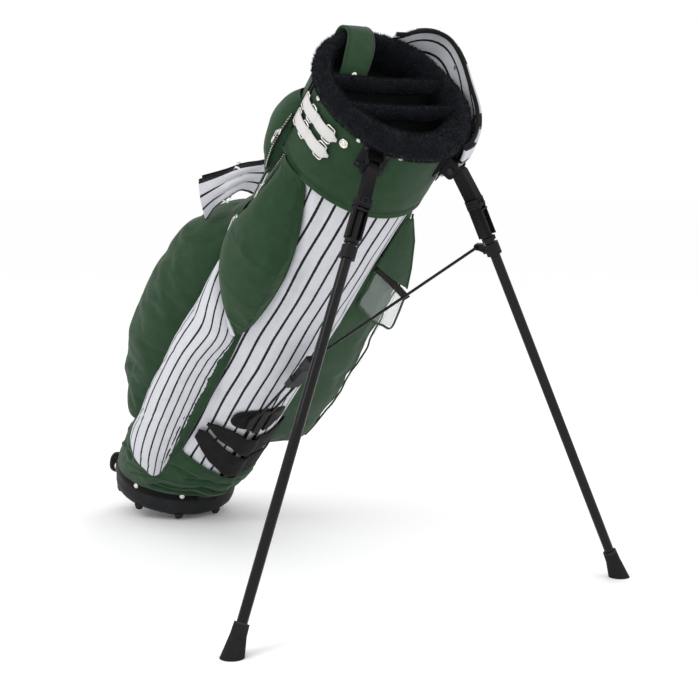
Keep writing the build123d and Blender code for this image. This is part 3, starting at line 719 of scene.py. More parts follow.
angles, share = np.meshgrid(np.linspace(-180, 180, 289)[:-1], np.linspace(0, 1, 64), indexing="ij")
low = on_base(99.8, angles, RING_HEIGHT - 6.0)
high = around(101.6, angles, np.maximum(skirt_top(angles), 118))
path = low * (1 - share[..., None]) + high * share[..., None]
length = np.linalg.norm(high - low, axis=-1) * 1000
x, y = angles * ARC, share * length
outward = path - RING
outward = outward - (outward @ UP)[..., None] * UP
outward /= np.linalg.norm(outward, axis=-1, keepdims=True)
hang = np.sin(share * math.pi) ** 0.8
puff = hang * (3.0 + 5.0 * (0.5 + 0.5 * np.cos(np.radians(angles + 20))))
puff = puff + hang * (1.4 * ripple(x, y, 60, 51) + 0.6 * ripple(x, y, 24, 52))
puff = creased(puff, x, y, (
        ((-56, 18), (40, 22), 3.4, -6.5), ((-50, 30), (10, 46), 3.0, -5.6), ((-18, 48), (50, 30), 3.4, -5.4),
        ((-34, 70), (20, 62), 3.2, -4.2), ((10, 80), (60, 56), 3.4, -4.0), ((-50, 92), (-22, 74), 3.2, -3.6),
        ((-60, 44), (-10, 60), 3.4, 2.8), ((-30, 12), (70, 14), 3.6, 2.4),
        ((-118, 66), (-84, 58), 4.0, -4.2), ((-120, 50), (-88, 74), 4.5, 2.8),
        ((-100, 40), (-62, 52), 5.0, -2.2), ((-80, 24), (-58, 50), 4.0, -3.0),
        ((60, 40), (120, 66), 5.0, -3.0), ((80, 70), (150, 60), 6.0, 2.8), ((120, 50), (176, 84), 5.0, -3.0),
        ((-176, 84), (-130, 56), 5.0, -3.2), ((-160, 50), (-118, 90), 6.0, 2.6)), skew=0.6, scale=ARC)
puff = puff + 6.5 * np.exp(-(np.abs(angles) / 11) ** 4) * ease((share - 0.04) / 0.25)
puff = puff - 1.6 * np.exp(-((share - 0.965) / 0.012) ** 2)
skirt_points = path + outward * puff[..., None] / 1000
skirt = patch("skirt_cloth", skirt_points, canvas, None, closed=True, thick=1.4,
              stands_for=("skirt",), cloth=cloth_of(x, y))
settle(skirt)
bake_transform(skirt)


def on_skirt(angle, part):
    """Points on the skirt's outer face, part 0 at the base ring and 1 at the top."""
    i = (np.asarray(angle, float) + 180) / 360 * 288
    j = np.clip(np.asarray(part, float), 0, 1) * 63
    i0, j0 = np.floor(i).astype(int) % 288, np.minimum(np.floor(j).astype(int), 62)
    fi, fj = (i - np.floor(i))[:, None], (j - j0)[:, None]
    near = skirt_points[i0, j0] * (1 - fj) + skirt_points[i0, j0 + 1] * fj
    far = skirt_points[(i0 + 1) % 288, j0] * (1 - fj) + skirt_points[(i0 + 1) % 288, j0 + 1] * fj
    return near * (1 - fi) + far * fi


line = on_skirt(np.full(40, -53.0), np.linspace(0.1, 0.97, 40))
seam = swept("skirt_seam", line, outward_from_tube(line), ring_section(0.8, 8), canvas_deep, None)
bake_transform(seam)

# ================================ pockets =====================================================


def pouch_points(stations, power, columns=90, rows=72, tuck=14.0, puff=None):
    """A pouch on the tube's side through (up, angle, width, reach) stations, smoothed."""
    stations = np.asarray(stations, float)
    t = np.linspace(0, 1, columns)
    keys = (stations[:, 0] - stations[0, 0]) / (stations[-1, 0] - stations[0, 0])
    path = smooth_path(np.column_stack([keys * 3, stations[:, 1] / 40, stations[:, 2] / 40]), 400)
    extra = smooth_path(np.column_stack([keys * 3, stations[:, 3] / 40, stations[:, 3] / 40]), 400)
    up = stations[0, 0] + t * (stations[-1, 0] - stations[0, 0])
    angle = np.interp(t * 3, path[:, 0], path[:, 1]) * 40
    width = np.interp(t * 3, path[:, 0], path[:, 2]) * 40
    reach = np.interp(t * 3, extra[:, 0], extra[:, 1]) * 40
    turn = np.radians(np.linspace(-90 - tuck, 90 + tuck, rows))
    s, c = np.sin(turn), np.cos(turn)
    side = bent(s, 2 / power)
    out = bent(c, 2 / power)
    a = np.radians(angle)
    radial = TUBE_R - 2 + (reach - TUBE_R + 2)[None] * out[:, None]
    tangent = (width / 2)[None] * side[:, None]
    x = radial * np.cos(a) - tangent * np.sin(a)
    y = radial * np.sin(a) + tangent * np.cos(a)
    z = np.broadcast_to(up, x.shape).copy()
    across = np.linspace(-1, 1, rows)[:, None] * (width / 2 + (reach - TUBE_R) * 0.8)[None]
    along = np.broadcast_to(up, across.shape)
    return x, y, z, across, along


def rim_of(rows, columns, border=1):
    """Vertex numbers along the edges of a rows x columns sheet."""
    i, j = np.meshgrid(np.arange(rows), np.arange(columns), indexing="ij")
    edge = (i < border) | (i >= rows - border) | (j < border) | (j >= columns - border)
    return (i * columns + j)[edge]


def push_out(x, y, amount):
    """Moves points away from the tube's axis by an amount in mm."""
    r = np.hypot(x, y)
    return x + x / r * amount, y + y / r * amount


# big green pocket at the left and back
x, y, z, across, along = pouch_points(
    ((98, -140, 60, 100), (112, -141, 98, 122), (170, -142, 112, 152), (246, -141, 120, 173),
     (330, -140, 122, 178), (440, -140, 120, 173), (500, -140, 112, 152), (545, -140, 96, 122),
     (575, -140, 60, 101)), 2.7)
wave = 1.6 * ripple(across, along, 120, 61) + 0.5 * ripple(across, along, 45, 62)
wave = creased(wave, across, along, (
        ((60, 470), (5, 400), 10, -4.5), ((66, 505), (20, 470), 9, 3.4), ((55, 440), (30, 330), 9, -3.4),
        ((20, 520), (-30, 480), 12, -3.6), ((64, 250), (40, 140), 9, -3.6), ((30, 150), (-20, 130), 9, -2.6),
        ((-60, 470), (-20, 380), 11, -3.8), ((-66, 260), (-40, 160), 9, -3.0),
        ((50, 200), (10, 160), 8, 2.4)))
x, y = push_out(x, y, wave)
ball_points = spot(x, y, z)
ball = patch("ball_pocket_cloth", ball_points, canvas,
             stands_for=("ball_pocket",), cloth=cloth_of(across, along))
inflate(ball, rim_of(*ball_points.shape[:2], 2), pressure=5, cap=6, slack=0.012)

# pinstriped pocket under the teardrop
TONGUE = ((64, -80, 22), (76, -80, 58), (100, -80, 84), (150, -82, 92), (210, -83, 92), (290, -83, 88),
          (370, -83, 86), (430, -82, 86), (462, -87, 70), (492, -94, 44), (516, -100, 24), (540, -105, 8))
x, y, z, across, along = pouch_points(
    [(up, angle, width, reach) for (up, angle, width), reach in
     zip(TONGUE, (101, 107, 114, 121, 127, 133, 134, 129, 125, 119, 112, 104))], 2.3, columns=120, tuck=6)
wave = 0.9 * ripple(across, along, 100, 63)
wave = creased(wave, across, along, (
        ((30, 330), (10, 220), 9, -1.8), ((-30, 300), (-16, 180), 8, -1.8),
                                  ((20, 440), (0, 370), 8, -1.6), ((0, 200), (10, 110), 9, 1.6)))
x, y = push_out(x, y, wave)
tongue_points = spot(x, y, z)
tongue = patch("side_pocket_cloth", tongue_points, striped,
               stands_for=("side_pocket_left",), cloth=cloth_of(across * 1.35, along))
inflate(tongue, rim_of(*tongue_points.shape[:2], 2), pressure=4, cap=4, slack=0.01)

# teardrop panel
DROP = ((452, -59, -54), (475, -73, -50), (500, -86, -48), (530, -98, -46.5),
        (561, -104, -46), (591, -104.5, -46.5), (630, -101, -50), (670, -97, -56), (705, -95.5, -64), (731,
         -96, -72))
drop = np.array(DROP, float)
t = np.linspace(452, 731, 110)
left_edge = smooth_path(np.column_stack([drop[:, 0] / 30, drop[:, 1] / 10, 0 * drop[:, 0]]), 300)
right_edge = smooth_path(np.column_stack([drop[:, 0] / 30, drop[:, 2] / 10, 0 * drop[:, 0]]), 300)
left = np.interp(t / 30, left_edge[:, 0], left_edge[:, 1]) * 10
right_side = np.interp(t / 30, right_edge[:, 0], right_edge[:, 1]) * 10
s = np.linspace(-1, 1, 70)[:, None]
angle = (left + right_side) / 2 + s * (right_side - left) / 2
middle = np.interp(t, (452, 470, 520, 590, 660, 731), (3, 10, 22, 28, 20, 8))
crown = middle * (1 - np.abs(s) ** 3.2) ** 0.55
under = np.interp(t, (452, 500, 560, 620, 731), (12, 11, 9, 5, 3))
across, along = np.broadcast_arrays(angle * ARC * 1.1, t[None] + 0 * s)
radius = TUBE_R + under + crown + 0.7 * ripple(across, along, 90, 66)
radius = creased(radius, across / 1.1, along, (
    ((-74, 726), (-70, 660), 9, -2.2), ((-66, 724), (-60, 640), 8, -1.6),
    ((-92, 600), (-80, 560), 10, -1.6)), scale=ARC)
drop_points = around(radius, angle, along)
panel = patch("teardrop_cloth", drop_points, canvas,
              stands_for=("panel_pocket",), cloth=cloth_of(across, along))
inflate(panel, rim_of(*drop_points.shape[:2], 1), pressure=4, cap=4, slack=0.008)
# the teardrop's side walls, piping, stitching and white double welt
for word, row in (("left", 0), ("right", -1)):
    edge = drop_points[row]
    out = outward_from_tube(edge)
    foot = edge - out * (under + 1.0)[:, None] / 1000
    wall = np.stack([edge, (edge + foot) / 2 + out * 0.0004, foot])
    patch(f"teardrop_wall_{word}", wall, canvas_deep, thick=1.0,
          cloth=cloth_of(np.array([0, 5, 10])[:, None], t[None]))
    inner = drop_points[5 if row == 0 else -6] + out * 0.0003
    seams_green += stitch_row(inner[4:-4], out[4:-4], 4.0)
    swept(f"teardrop_piping_{word}", edge + out * 0.0002, out, ring_section(1.25), canvas_deep)
welt = np.array(((-57, 444), (-70, 466), (-84, 490), (-96, 513), (-104, 534), (-110, 553),
                 (-113, 572)), float)
for index, gap in enumerate((0.0, 3.9)):
    path = smooth_path(around(112.5 - index, welt[:, 0] - gap / 2, welt[:, 1] - gap * 0.6), 110)
    swept(f"white_piping_{index}", path, outward_from_tube(path), ring_section(1.9), white_cord)

# green strip between the pinstriped pocket and the body
t = np.linspace(100, 462, 90)
left = np.interp(t, (100, 121, 200, 284, 372, 434, 462), (-62, -57, -59, -63, -63, -58, -56))
edge_right = np.interp(t, (100, 143, 181, 240, 304, 391, 462), (-53, -49, -51, -51, -51, -52.5, -54.5))
s = np.linspace(0, 1, 14)[:, None]
angle = left - 3 + s * (edge_right - left + 3)
radius = TUBE_R + 2.2 + 11 * (1 - s) ** 1.4 * ease((t[None] - 95) / 60) * (
    0.35 + 0.65 * ease((470 - t[None]) / 80))
radius = radius + 0.6 * ripple(angle * ARC, t[None] + 0 * s, 40, 67)
strip_points = around(radius, angle, t[None] + 0 * s)
patch("green_strip", strip_points, canvas, thick=1.4,
      cloth=cloth_of(angle * ARC, t[None] + 0 * s))
edge = strip_points[-1]
out = outward_from_tube(edge)
swept("green_strip_piping", edge + out * 0.0004, out, ring_section(1.2), canvas_deep)
seams_green += stitch_row(strip_points[-4][3:-3] + out[3:-3] * 0.0002, out[3:-3], 4.2)
edge = strip_points[3] + out * 0.0016
swept("pocket_piping", edge, out, ring_section(1.1), webbing)

# right green pocket: a boxy pouch with rounded corners
BOX_POWER = 0.42
stations = np.array(((138, 110, 40), (146, 150, 54), (165, 176, 64), (242, 183, 70),
                     (330, 178, 72), (445, 167, 72), (550, 157, 72), (590, 147, 70), (625, 129, 66), (655,
                      113, 62), (690, 104, 56),
                     (724, 100, 46)), float)
t = np.linspace(0, 1, 110)
shape = smooth_path(np.column_stack([stations[:, 0] / 60, stations[:, 1] / 60, stations[:, 2] / 60]), 500)
up = 138 + t * 586
reach = np.interp(up / 60, shape[:, 0], shape[:, 1]) * 60
half = np.interp(up / 60, shape[:, 0], shape[:, 2]) * 60
turn = np.radians(np.linspace(-94, 94, 96))[:, None]
side = bent(np.sin(turn), BOX_POWER)
out = bent(np.cos(turn), BOX_POWER)
x = -half[None] * side
y = 52 + (reach[None] - 52) * out
z = up[None] + 0 * turn
across, along = np.broadcast_arrays(turn * 90, z)
wave = 1.5 * ripple(across, along, 130, 71) + 0.5 * ripple(across, along, 50, 72)
wave = creased(wave, across, along, (
        ((-80, 650), (-60, 520), 9, -3.6), ((-100, 600), (-84, 480), 8, -2.6),
        ((-60, 330), (-30, 260), 10, -2.6), ((-90, 420), (-70, 330), 10, 2.4),
        ((40, 640), (60, 480), 12, -4.0), ((90, 560), (70, 400), 12, -3.2),
        ((0, 660), (10, 560), 12, -3.0), ((20, 300), (60, 250), 10, -2.6)))
x = x + np.where(np.abs(side) > 0.8, -np.sign(side) * -wave * 0.7 * -1, 0)
y = y + np.where(np.abs(out) > 0.5, wave, 0)
box_points = spot(x, y, z)
right_pocket = patch("right_pocket_cloth", box_points, canvas,
                     stands_for=("side_pocket_right",), cloth=cloth_of(across, along))
inflate(right_pocket, rim_of(*box_points.shape[:2], 2), pressure=4, cap=5, slack=0.01)
for name, share in (("front", 0.23), ("back", 0.77)):
    row = int(share * 95)
    line = box_points[row, 5:-8]
    out = line - spot(0, 90, up[5:-8])
    out /= np.linalg.norm(out, axis=1, keepdims=True)
    swept(f"right_pocket_piping_{name}", line + out * 0.0012, out, ring_section(1.5), canvas_deep)
    seam_row = row + (5 if share < 0.5 else -5)
    seams_green += stitch_row(box_points[seam_row, 6:-9] + out[1:-1] * 0.0006, out[1:-1], 4.4)

# valuables pocket high on the left
x, y, z, across, along = pouch_points(
    ((664, -122, 26, 104), (684, -122, 52, 112), (710, -122, 62, 121), (745, -121, 64, 125),
     (775, -120, 54, 119), (798, -119, 30, 107)), 2.8, columns=60, rows=50)
x, y = push_out(x, y, 0.8 * ripple(across, along, 40, 75)
                + fold(across, along, (-20, 760), (10, 700), 7, -2.2))
purse_points = spot(x, y, z)
purse = patch("valuables_pocket_cloth", purse_points, canvas,
              stands_for=("valuables_pocket",), cloth=cloth_of(across, along))
inflate(purse, rim_of(*purse_points.shape[:2], 2), pressure=4, cap=3, slack=0.008)

# ================================ zips ========================================================


def zip_line(name, path, outward, body="bag", width=11.0, stands_for=()):
    """Woven tape with two rows of teeth along a path."""
    swept(name + "_tape", path, outward, strap_section(width, 1.0), webbing, body,
          stands_for=stands_for)
    along, out, side = sides_of(path, outward)
    run = np.concatenate([[0], np.cumsum(np.linalg.norm(np.diff(path, axis=0), axis=1))]) * 1000
    parts = []
    for i in range(int(run[-1] / 2.2)):
        d = 1 + i * 2.2
        at = [np.array([np.interp(d, run, values[:, k]) for k in range(3)]) for values in (path, out, side)]
        q, o, w = at
        lean = 1 if i % 2 else -1
        parts.append(bar(q + o * 0.0010 + w * lean * 0.0022,
                         q + o * 0.0010 - w * lean * 0.0006, o, 1.3, 0.9))
    merge(name + "_teeth", parts, zip_metal, body)


def slider(name, at, along, out, body, tab=22.0, stands_for=()):
    """A zip slider with its bridge and a hanging tab."""
    along = along / np.linalg.norm(along)
    side = np.cross(along, out)
    parts = [bar(at - along * 0.005, at + along * 0.005, out, 8.0, 2.0, 0.1),
             bar(at - along * 0.0034 + out * 0.002, at + along * 0.0034 + out * 0.002, out, 3.0, 1.8, 0.3)]
    root = at + out * 0.0036
    for s in (-1, 1):
        parts.append(bar(root + side * s * 0.0024, root - along * tab / 1000 * 0.5 + side * s * 0.0024,
                         out, 1.3, 1.1))
    parts.append(bar(root - along * tab / 1000 * 0.45, root - along * tab / 1000, out, 5.6, 1.4, 0.2))
    return merge(name, parts, nickel, body, stands_for=stands_for)


heights = np.linspace(600, 724, 70)
slit_angle = np.interp(heights, (600, 666, 724), (ZIP_ANGLE, ZIP_ANGLE, -100.5))
line = around(TUBE_R + 0.8, slit_angle, heights)
zip_line("side_zip", line, outward_from_tube(line), stands_for=("side_zip",))
pull_at = around(TUBE_R + 1.8, ZIP_ANGLE, 652)
slider("side_zip_slider", pull_at, UP, outward_from_tube(pull_at[None])[0], "side_zip_pull", 26,
       stands_for=("side_zip_pull",))

# dark lips each side of the slit
for index, shift in enumerate((-4.8, 4.6)):
    lip = around(TUBE_R + 2.4 + 1.6 * np.sin((heights - 600) / 124 * math.pi), slit_angle + shift, heights)
    swept(f"slit_lip_{index}", lip, outward_from_tube(lip), strap_section(5.0, 2.2), canvas_deep)

# curved zip along the big green pocket's back edge
rows, columns = ball_points.shape[:2]
line = smooth_path(ball_points[12, 16:-12], 120)
out = outward_from_tube(line)
zip_line("ball_pocket_zip", line + out * 0.0022, out)
at = line[-10] + out[-10] * 0.0036
slider("ball_pocket_slider", at, line[-9] - line[-11], out[-10], "bag", 24)
at = around(112.5, -106.5, 585)
out = outward_from_tube(at[None])[0]
slider("teardrop_slider", at + out * 0.0012, UP + 0.4 * np.cross(out, UP), out, "bag", 22)
line = smooth_path(purse_points[-9, 8:-8], 60)
out = outward_from_tube(line)
zip_line("valuables_zip", line + out * 0.0012, out, width=9.0)
slider("valuables_slider", line[40] + out[40] * 0.0022, UP, out[40], "bag", 20)

# ================================ bands over the U-rod ========================================


def band(name, node, top, bottom, radius, thick):
    """A slanted webbing band with edges through (angle, height) points, over the rod's tunnel."""
    keys = [k for k, _ in top]
    a = np.linspace(keys[0], keys[-1], 120)
    high = np.interp(a, keys, [v for _, v in top])
    low = np.interp(a, [k for k, _ in bottom], [v for _, v in bottom])
    s = np.linspace(0, 1, 30)[:, None]
    z = low[None] + s * (high - low)[None]
    tunnel = 7.4 * np.exp(-(np.abs(a) / 8.6) ** 4)
    r = (radius + tunnel[None] + 0.5 * ripple(a[None] * ARC + 0 * s, z, 30, 80)
         + 0.9 * (1 - np.abs(2 * s - 1) ** 8))
    points = around(r, a[None] + 0 * s, z)
    piece = patch(name, points, webbing, thick=thick, stands_for=(node,),
                  cloth=cloth_of(a[None] * ARC + 0 * s, z))
    for j in (2, 27):
        line = points[j] + outward_from_tube(points[j]) * 0.0003
        seams_black.extend(stitch_row(line, outward_from_tube(line), 4.0))
    return piece


band("lower_band", "sleeve_band_lower",
     ((-46, 232), (-38, 236), (-28, 224), (-13, 204), (10, 188), (46, 186)),
     ((-46, 214), (-40, 203), (-25, 175), (-10, 153), (10, 144), (46, 140)), 101.2, 1.6)
band("upper_band", "sleeve_band_upper",
     ((-42, 254), (-34, 258), (-22, 256), (-8, 246), (10, 240), (28, 244), (46, 250)),
     ((-42, 250), (-34, 240), (-26, 228), (-9, 211), (10, 197), (46, 194)), 101.2, 1.6)

# guard patch where the wires leave the sleeve
s, a = np.meshgrid(np.linspace(0, 1, 14), np.linspace(0, 2 * math.pi, 73)[:-1], indexing="xy")
width = bent(np.cos(a), 0.8) * 26
height = bent(np.sin(a), 0.8) * 23
lift = np.where(s > 0.82, 2.6, 3.6 - 3.4 * ease((0.82 - s) / 0.2) * ease((s - 0.1) / 0.1) * 0.35)
guard = around(TUBE_R + 1.6 + lift * ease((1 - s) / 0.12), width * s, 285 + height * s + 0.12 * width * s)
patch("guard_patch", guard, black_plastic, thick=1.2, closed=True,
      cloth=cloth_of(width * s, height * s))

# ================================ base ========================================================


def turned(name, profile, material, body, slot, stands_for, count=96):
    """A ring about the base's axis; profile is a closed loop of (radius, height)."""
    loop = np.array(profile, float)
    a = np.linspace(0, 360, count + 1)[:-1]
    points = on_base(loop[None, :, 0], a[:, None], loop[None, :, 1])
    n, m = points.shape[:2]
    faces = [(i * m + j, ((i + 1) % n) * m + j, ((i + 1) % n) * m + (j + 1) % m, i * m + (j + 1) % m)
             for i in range(n) for j in range(m)]
    piece = add_piece(name, points, faces, material, body, slot=slot, stands_for=stands_for)
    soft = piece.modifiers.new("edges", "BEVEL")
    soft.width = 0.0009
    soft.segments = 2
    soft.limit_method = "ANGLE"
    soft.angle_limit = math.radians(40)
    return settle(piece)


turned("base_hoop", ((97.6, 0), (101.2, -0.6), (102.0, 1.0), (102.3, 4), (102.0, 9), (101.6, 12.5),
                     (100.9, 14.2), (98.6, 14.6), (97.6, 14)), black_plastic, "base", "black_plastic",
       ("base_ring",))
turned("base_bowl", ((97.2, -0.6), (99.6, -0.8), (99.8, -4), (98.8, -9), (99.2, -10.5),
                     (98.6, -17), (96.6, -24.5), (91.5, -30.4), (70, -31.6), (69, -30), (40, -30),
                     (39, -31.6), (2, -31.6), (2, -27), (89, -27),
                     (93, -21), (94, 13), (96.6, 13)), grey_plastic, "base", "grey_plastic", ("base_shell",))
studs = []
for angle in (-157.5, -112.5, -67.5, -22.5, 22.5, 67.5, 112.5, 157.5):
    foot = on_base(88.0, angle, -30.6)
    studs.append(lathed(foot, -BASE_UP, ((8.0, 0), (7.0, 2.0), (6.2, 4.4), (5.2, 6.6), (3.2, 7.6)), 20))
merge("base_studs", studs, rubber, "base", stands_for=("base_cleats",))
DOME = ((4.4, 0), (4.3, 0.7), (3.4, 1.5), (2.0, 1.95), (0.4, 2.1))
domes = []
for index in range(8):
    angle = 22.5 + 45 * index
    out = on_base(1000.0, angle, 0) - RING
    domes.append(lathed(on_base(BASE_R + 0.3, angle, 7), out, DOME, 20))
merge("base_rivet_heads", domes, nickel, "base", stands_for=("base_rivets",))

domes = []
for angle in (-136, -92, -48, -16, 16, 48, 92, 130, 180):
    q = around(CUFF_R + 0.2, angle, RIM - 18)
    domes.append(lathed(q, outward_from_tube(q[None])[0], tuple((r * 0.95, h) for r, h in DOME), 20))
domes.append(lathed(spot(-30.5, -45, 849), FRONT + UP * 0.6, DOME, 20))
merge("rim_rivet_heads", domes, nickel, stands_for=("rim_rivets",))
q = around(CUFF_R + 0.2, -56, 815)
out = outward_from_tube(q[None])[0]
SNAP = ((6.4, 0), (6.5, 0.9), (5.8, 1.9), (4.9, 2.1), (4.2, 1.2), (3.6, 0.7), (2.9, 0.8),
        (2.4, 1.9), (1.2, 2.3), (0.3, 2.35))
merge("snap_ring", [lathed(q, out, SNAP, 32)], nickel, stands_for=("snap_button",))

# grip at the back left of the base: a rounded moulded knob
a, b = np.meshgrid(np.linspace(0, 2 * math.pi, 41)[:-1], np.linspace(0, math.pi / 2, 16), indexing="ij")
GRIP_ANGLE = -128.0
out = (on_base(1000.0, GRIP_ANGLE, 0) - RING)
out /= np.linalg.norm(out)
tangent = np.cross(BASE_UP, out)
knob = (on_base(BASE_R - 1.5, GRIP_ANGLE, 1.5)
        + (bent(np.cos(a), 0.85) * np.cos(b) ** 0.7)[..., None] * tangent * 0.0150
        + (bent(np.sin(a), 0.85) * np.cos(b) ** 0.7)[..., None] * BASE_UP * 0.0170
        + (np.sin(b) ** 0.8)[..., None] * out * 0.0135)
patch("grip_knob", knob, gloss_plastic, "base", closed=True, stands_for=("base_grip",))

# ================================ straps ======================================================
top_edge = smooth_path([(x / 100, y / 100, z / 100) for x, y, z in (
    (-82, 38, 868), (-92, 64, 876), (-88, 92, 884), (-70, 110, 887), (-42, 119, 880), (-8, 121, 868),
    (28, 120, 857), (60, 106, 852), (86, 84, 850), (99, 62, 848))], 120) * 100
share = np.linspace(0, 1, 26)[:, None]
x0, y0 = top_edge[None, :, 0], top_edge[None, :, 1]
r0 = np.hypot(x0, y0)
along = np.linspace(0, 1, 120)[None]
drop_by = np.interp(along, (0, 0.2, 0.5, 0.8, 1), (50, 64, 74, 66, 52))
flare = 7 * np.sin(share * math.pi) - 9 * share
r = np.maximum(r0 + flare, CUFF_R + 3.5)
height = top_edge[None, :, 2] - share * drop_by
pad = spot(x0 / r0 * r, y0 / r0 * r, height)
run = np.concatenate([[0], np.cumsum(np.hypot(*np.diff(top_edge[:, :2], axis=0).T))])[None]
curve = share * drop_by + 12 * np.sin(along * 5.5)
patch("right_strap_pad", pad, striped, thick=4.0,
                  stands_for=("shoulder_strap_right",), cloth=cloth_of(curve, run + 0 * share))
for word, row in (("top", 0), ("bottom", -1)):
    line = pad[row]
    out = outward_from_tube(line)
    swept(f"right_strap_binding_{word}", line - out * 0.002, out, ring_section(3.0, 12, 0.9), webbing)
inner_r = np.maximum(r - 6, CUFF_R + 2.6)
inner = spot(x0 / r0 * inner_r, y0 / r0 * inner_r,
             height - 3 - share * 8 + 3 * ripple(run, share * 60, 22, 91))
patch("right_strap_lining", inner[:, 84:], webbing, thick=1.2,
      cloth=cloth_of(share * 60, run + 0 * share)[:, 84:])
q = pad[7, 48]
merge("strap_snap", [lathed(q + outward_from_tube(q[None])[0] * 0.0003, outward_from_tube(q[None])[0],
                            tuple((r * 0.8, h) for r, h in SNAP), 28)], nickel)

# left strap: stands out behind the bag, pinched in its buckle
WING = -128.0
wing_out = (around(1000.0, WING, 0) - RING)
wing_out /= np.linalg.norm(wing_out)
wing_side = np.cross(UP, wing_out)
s = np.linspace(0, 1, 70)[:, None]
w = np.linspace(0, 1, 30)[None]
WING_TOP = ((173, 584), (158, 602), (142, 622), (128, 640), (112, 656), (99, 670))
WING_LOW = ((142, 526), (140, 552), (131, 580), (121, 601), (110, 606), (99, 606))
top, low = (smooth_path([(out, up, 0) for out, up in edge], 70) for edge in (WING_TOP, WING_LOW))
rr = top[:, 0:1] * (1 - w) + low[:, 0:1] * w
hh = top[:, 1:2] * (1 - w) + low[:, 1:2] * w
pleat = 2.6 * np.sin(w * math.pi * 5) * np.exp(-((s - 0.6) / 0.22) ** 2) + 5 * np.sin(w * math.pi) * (1 - s)
base_plane = RING + rr[..., None] / 1000 * wing_out + hh[..., None] / 1000 * UP
wing = base_plane - wing_side * (2.0 + pleat)[..., None] * -0.001
size = np.linalg.norm(top - low, axis=1)[:, None]
patch("left_strap_pad", wing, striped, thick=4.0,
      stands_for=("shoulder_strap_left",), cloth=cloth_of(w * 62 + 8 + 0 * s, s * 90 + 0 * w))
for word, column in (("top", 0), ("low", -1)):
    line = wing[:, column]
    swept(f"left_strap_binding_{word}", line, np.broadcast_to(wing_side, line.shape), ring_section(2.6, 12),
          webbing)
back = wing - wing_side * 0.006 + UP * 0.006 * (1 - s)[..., None]
patch("left_strap_lining", back, webbing, thick=1.5, cloth=cloth_of(w * 60 + 0 * s, s * 90 + 0 * w))


def frame_of(centre, along, out, length, width, wire):
    """A rounded rectangular wire frame as (points, faces) parts."""
    along = along / np.linalg.norm(along)
    side = np.cross(along, out)
    corner = 0.22 * min(length, width)
    shape = []
    for sx, sy, first in ((1, 1, 0), (-1, 1, 90), (-1, -1, 180), (1, -1, 270)):
        for turn in (0, 30, 60, 90):
            a = math.radians(first + turn)
            shape.append((sx * (length / 2 - corner) + corner * math.cos(a),
                          sy * (width / 2 - corner) + corner * math.sin(a)))
    shape = np.array(shape)
    q = centre + (shape[:, 0:1] * along + shape[:, 1:2] * side) / 1000
    middle = q.mean(axis=0)
    points = []
    for p in q:
        radial = p - middle
        radial /= np.linalg.norm(radial)
        for turn in np.linspace(0, 2 * math.pi, 11)[:-1]:
            points.append(p + (math.cos(turn) * radial + math.sin(turn) * out) * wire / 1000)
    return np.array(points), skin_faces(len(q), 10, looped=True)


buckle_at = RING + 0.131 * wing_out + 0.606 * UP
direction = (top[40] - low[40])[0] * wing_out + (top[40] - low[40])[1] * UP
direction /= np.linalg.norm(direction)
merge("left_strap_buckle", [frame_of(buckle_at + wing_side * s, direction, wing_side, 62, 11, 1.5)
                            for s in (0.0065, -0.006)], nickel, stands_for=("strap_buckle",))

# two white straps on the cuff, with slide loops
STRAP_FIRST, STRAP_SPAN = -103, 42     # degrees
EYELET = ((1.2, 0), (1.25, 0.3), (0.7, 0.45), (0.2, 0.2))


def hump(angle):
    """How far a cuff strap arches off the cuff between its loops, in mm."""
    return 2.6 * np.abs(np.sin((angle - STRAP_FIRST) / STRAP_SPAN * math.pi * 2)) ** 0.7


frames = []
for index, height in enumerate((786, 813)):
    a = np.linspace(STRAP_FIRST, STRAP_FIRST + STRAP_SPAN, 70)
    lift = 1.6 + hump(a)
    line = around(CUFF_R + 0.8 + lift, a, height + 0 * a)
    taper = 1 - 0.75 * ease((a + 66) / 5)
    out = outward_from_tube(line)
    _, out, side = sides_of(line, out)
    section = np.array(strap_section(17, 1.9))
    points = (line[:, None] + side[:, None] * (section[None, :, 0:1] * taper[:, None, None]) / 1000
              + out[:, None] * section[None, :, 1:2] / 1000)
    n, m = points.shape[:2]
    cloth = np.zeros((n, m, 3))
    cloth[..., 0], cloth[..., 1] = section[None, :, 0] / 1000, (a * ARC / 1000)[:, None]
    strap = add_piece(f"cuff_strap_{index}", points, skin_faces(n, m), leather, cloth=cloth)
    if index == 0:
        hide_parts("cuff_straps")
    holes = []
    for angle in (-99, -96.2, -93.4):
        q = around(CUFF_R + 1.4 + 1.9 + hump(angle), angle, height)
        holes.append(lathed(q, outward_from_tube(q[None])[0], EYELET, 14))
    merge(f"strap_eyelets_{index}", holes, nickel)
    for angle, long in ((-88, 12), (-68, 14), (-100.5, 10)):
        q = around(CUFF_R + 4.6, angle, height)
        frames.append(frame_of(q, UP, outward_from_tube(q[None])[0], 23, long, 1.15))
merge("cuff_strap_frames", frames, nickel, stands_for=("cuff_buckles",))

# lifting handle
path = smooth_path([spot(x, y, z) for x, y, z in (
    (-110, -14, 826), (-113, -14, 848), (-108, -15, 862), (-94, -16, 868), (-76, -21, 866), (-58, -31, 861),
    (-43, -40, 853), (-32, -46, 840))], 90)
lift = np.cross(np.gradient(path, axis=0), RIGHT)
lift /= np.linalg.norm(lift, axis=1, keepdims=True)
if lift[45] @ UP < 0:
    lift = -lift
handle = swept("lift_handle", path, lift, strap_section(40, 3.4), canvas,
               stands_for=("grab_handle",))
for shift in (-17.5, 17.5):
    _, out, side = sides_of(path, lift)
    line = path + side * shift / 1000 + out * 0.0031
    seams_green += stitch_row(line[2:-2], out[2:-2], 4.0)

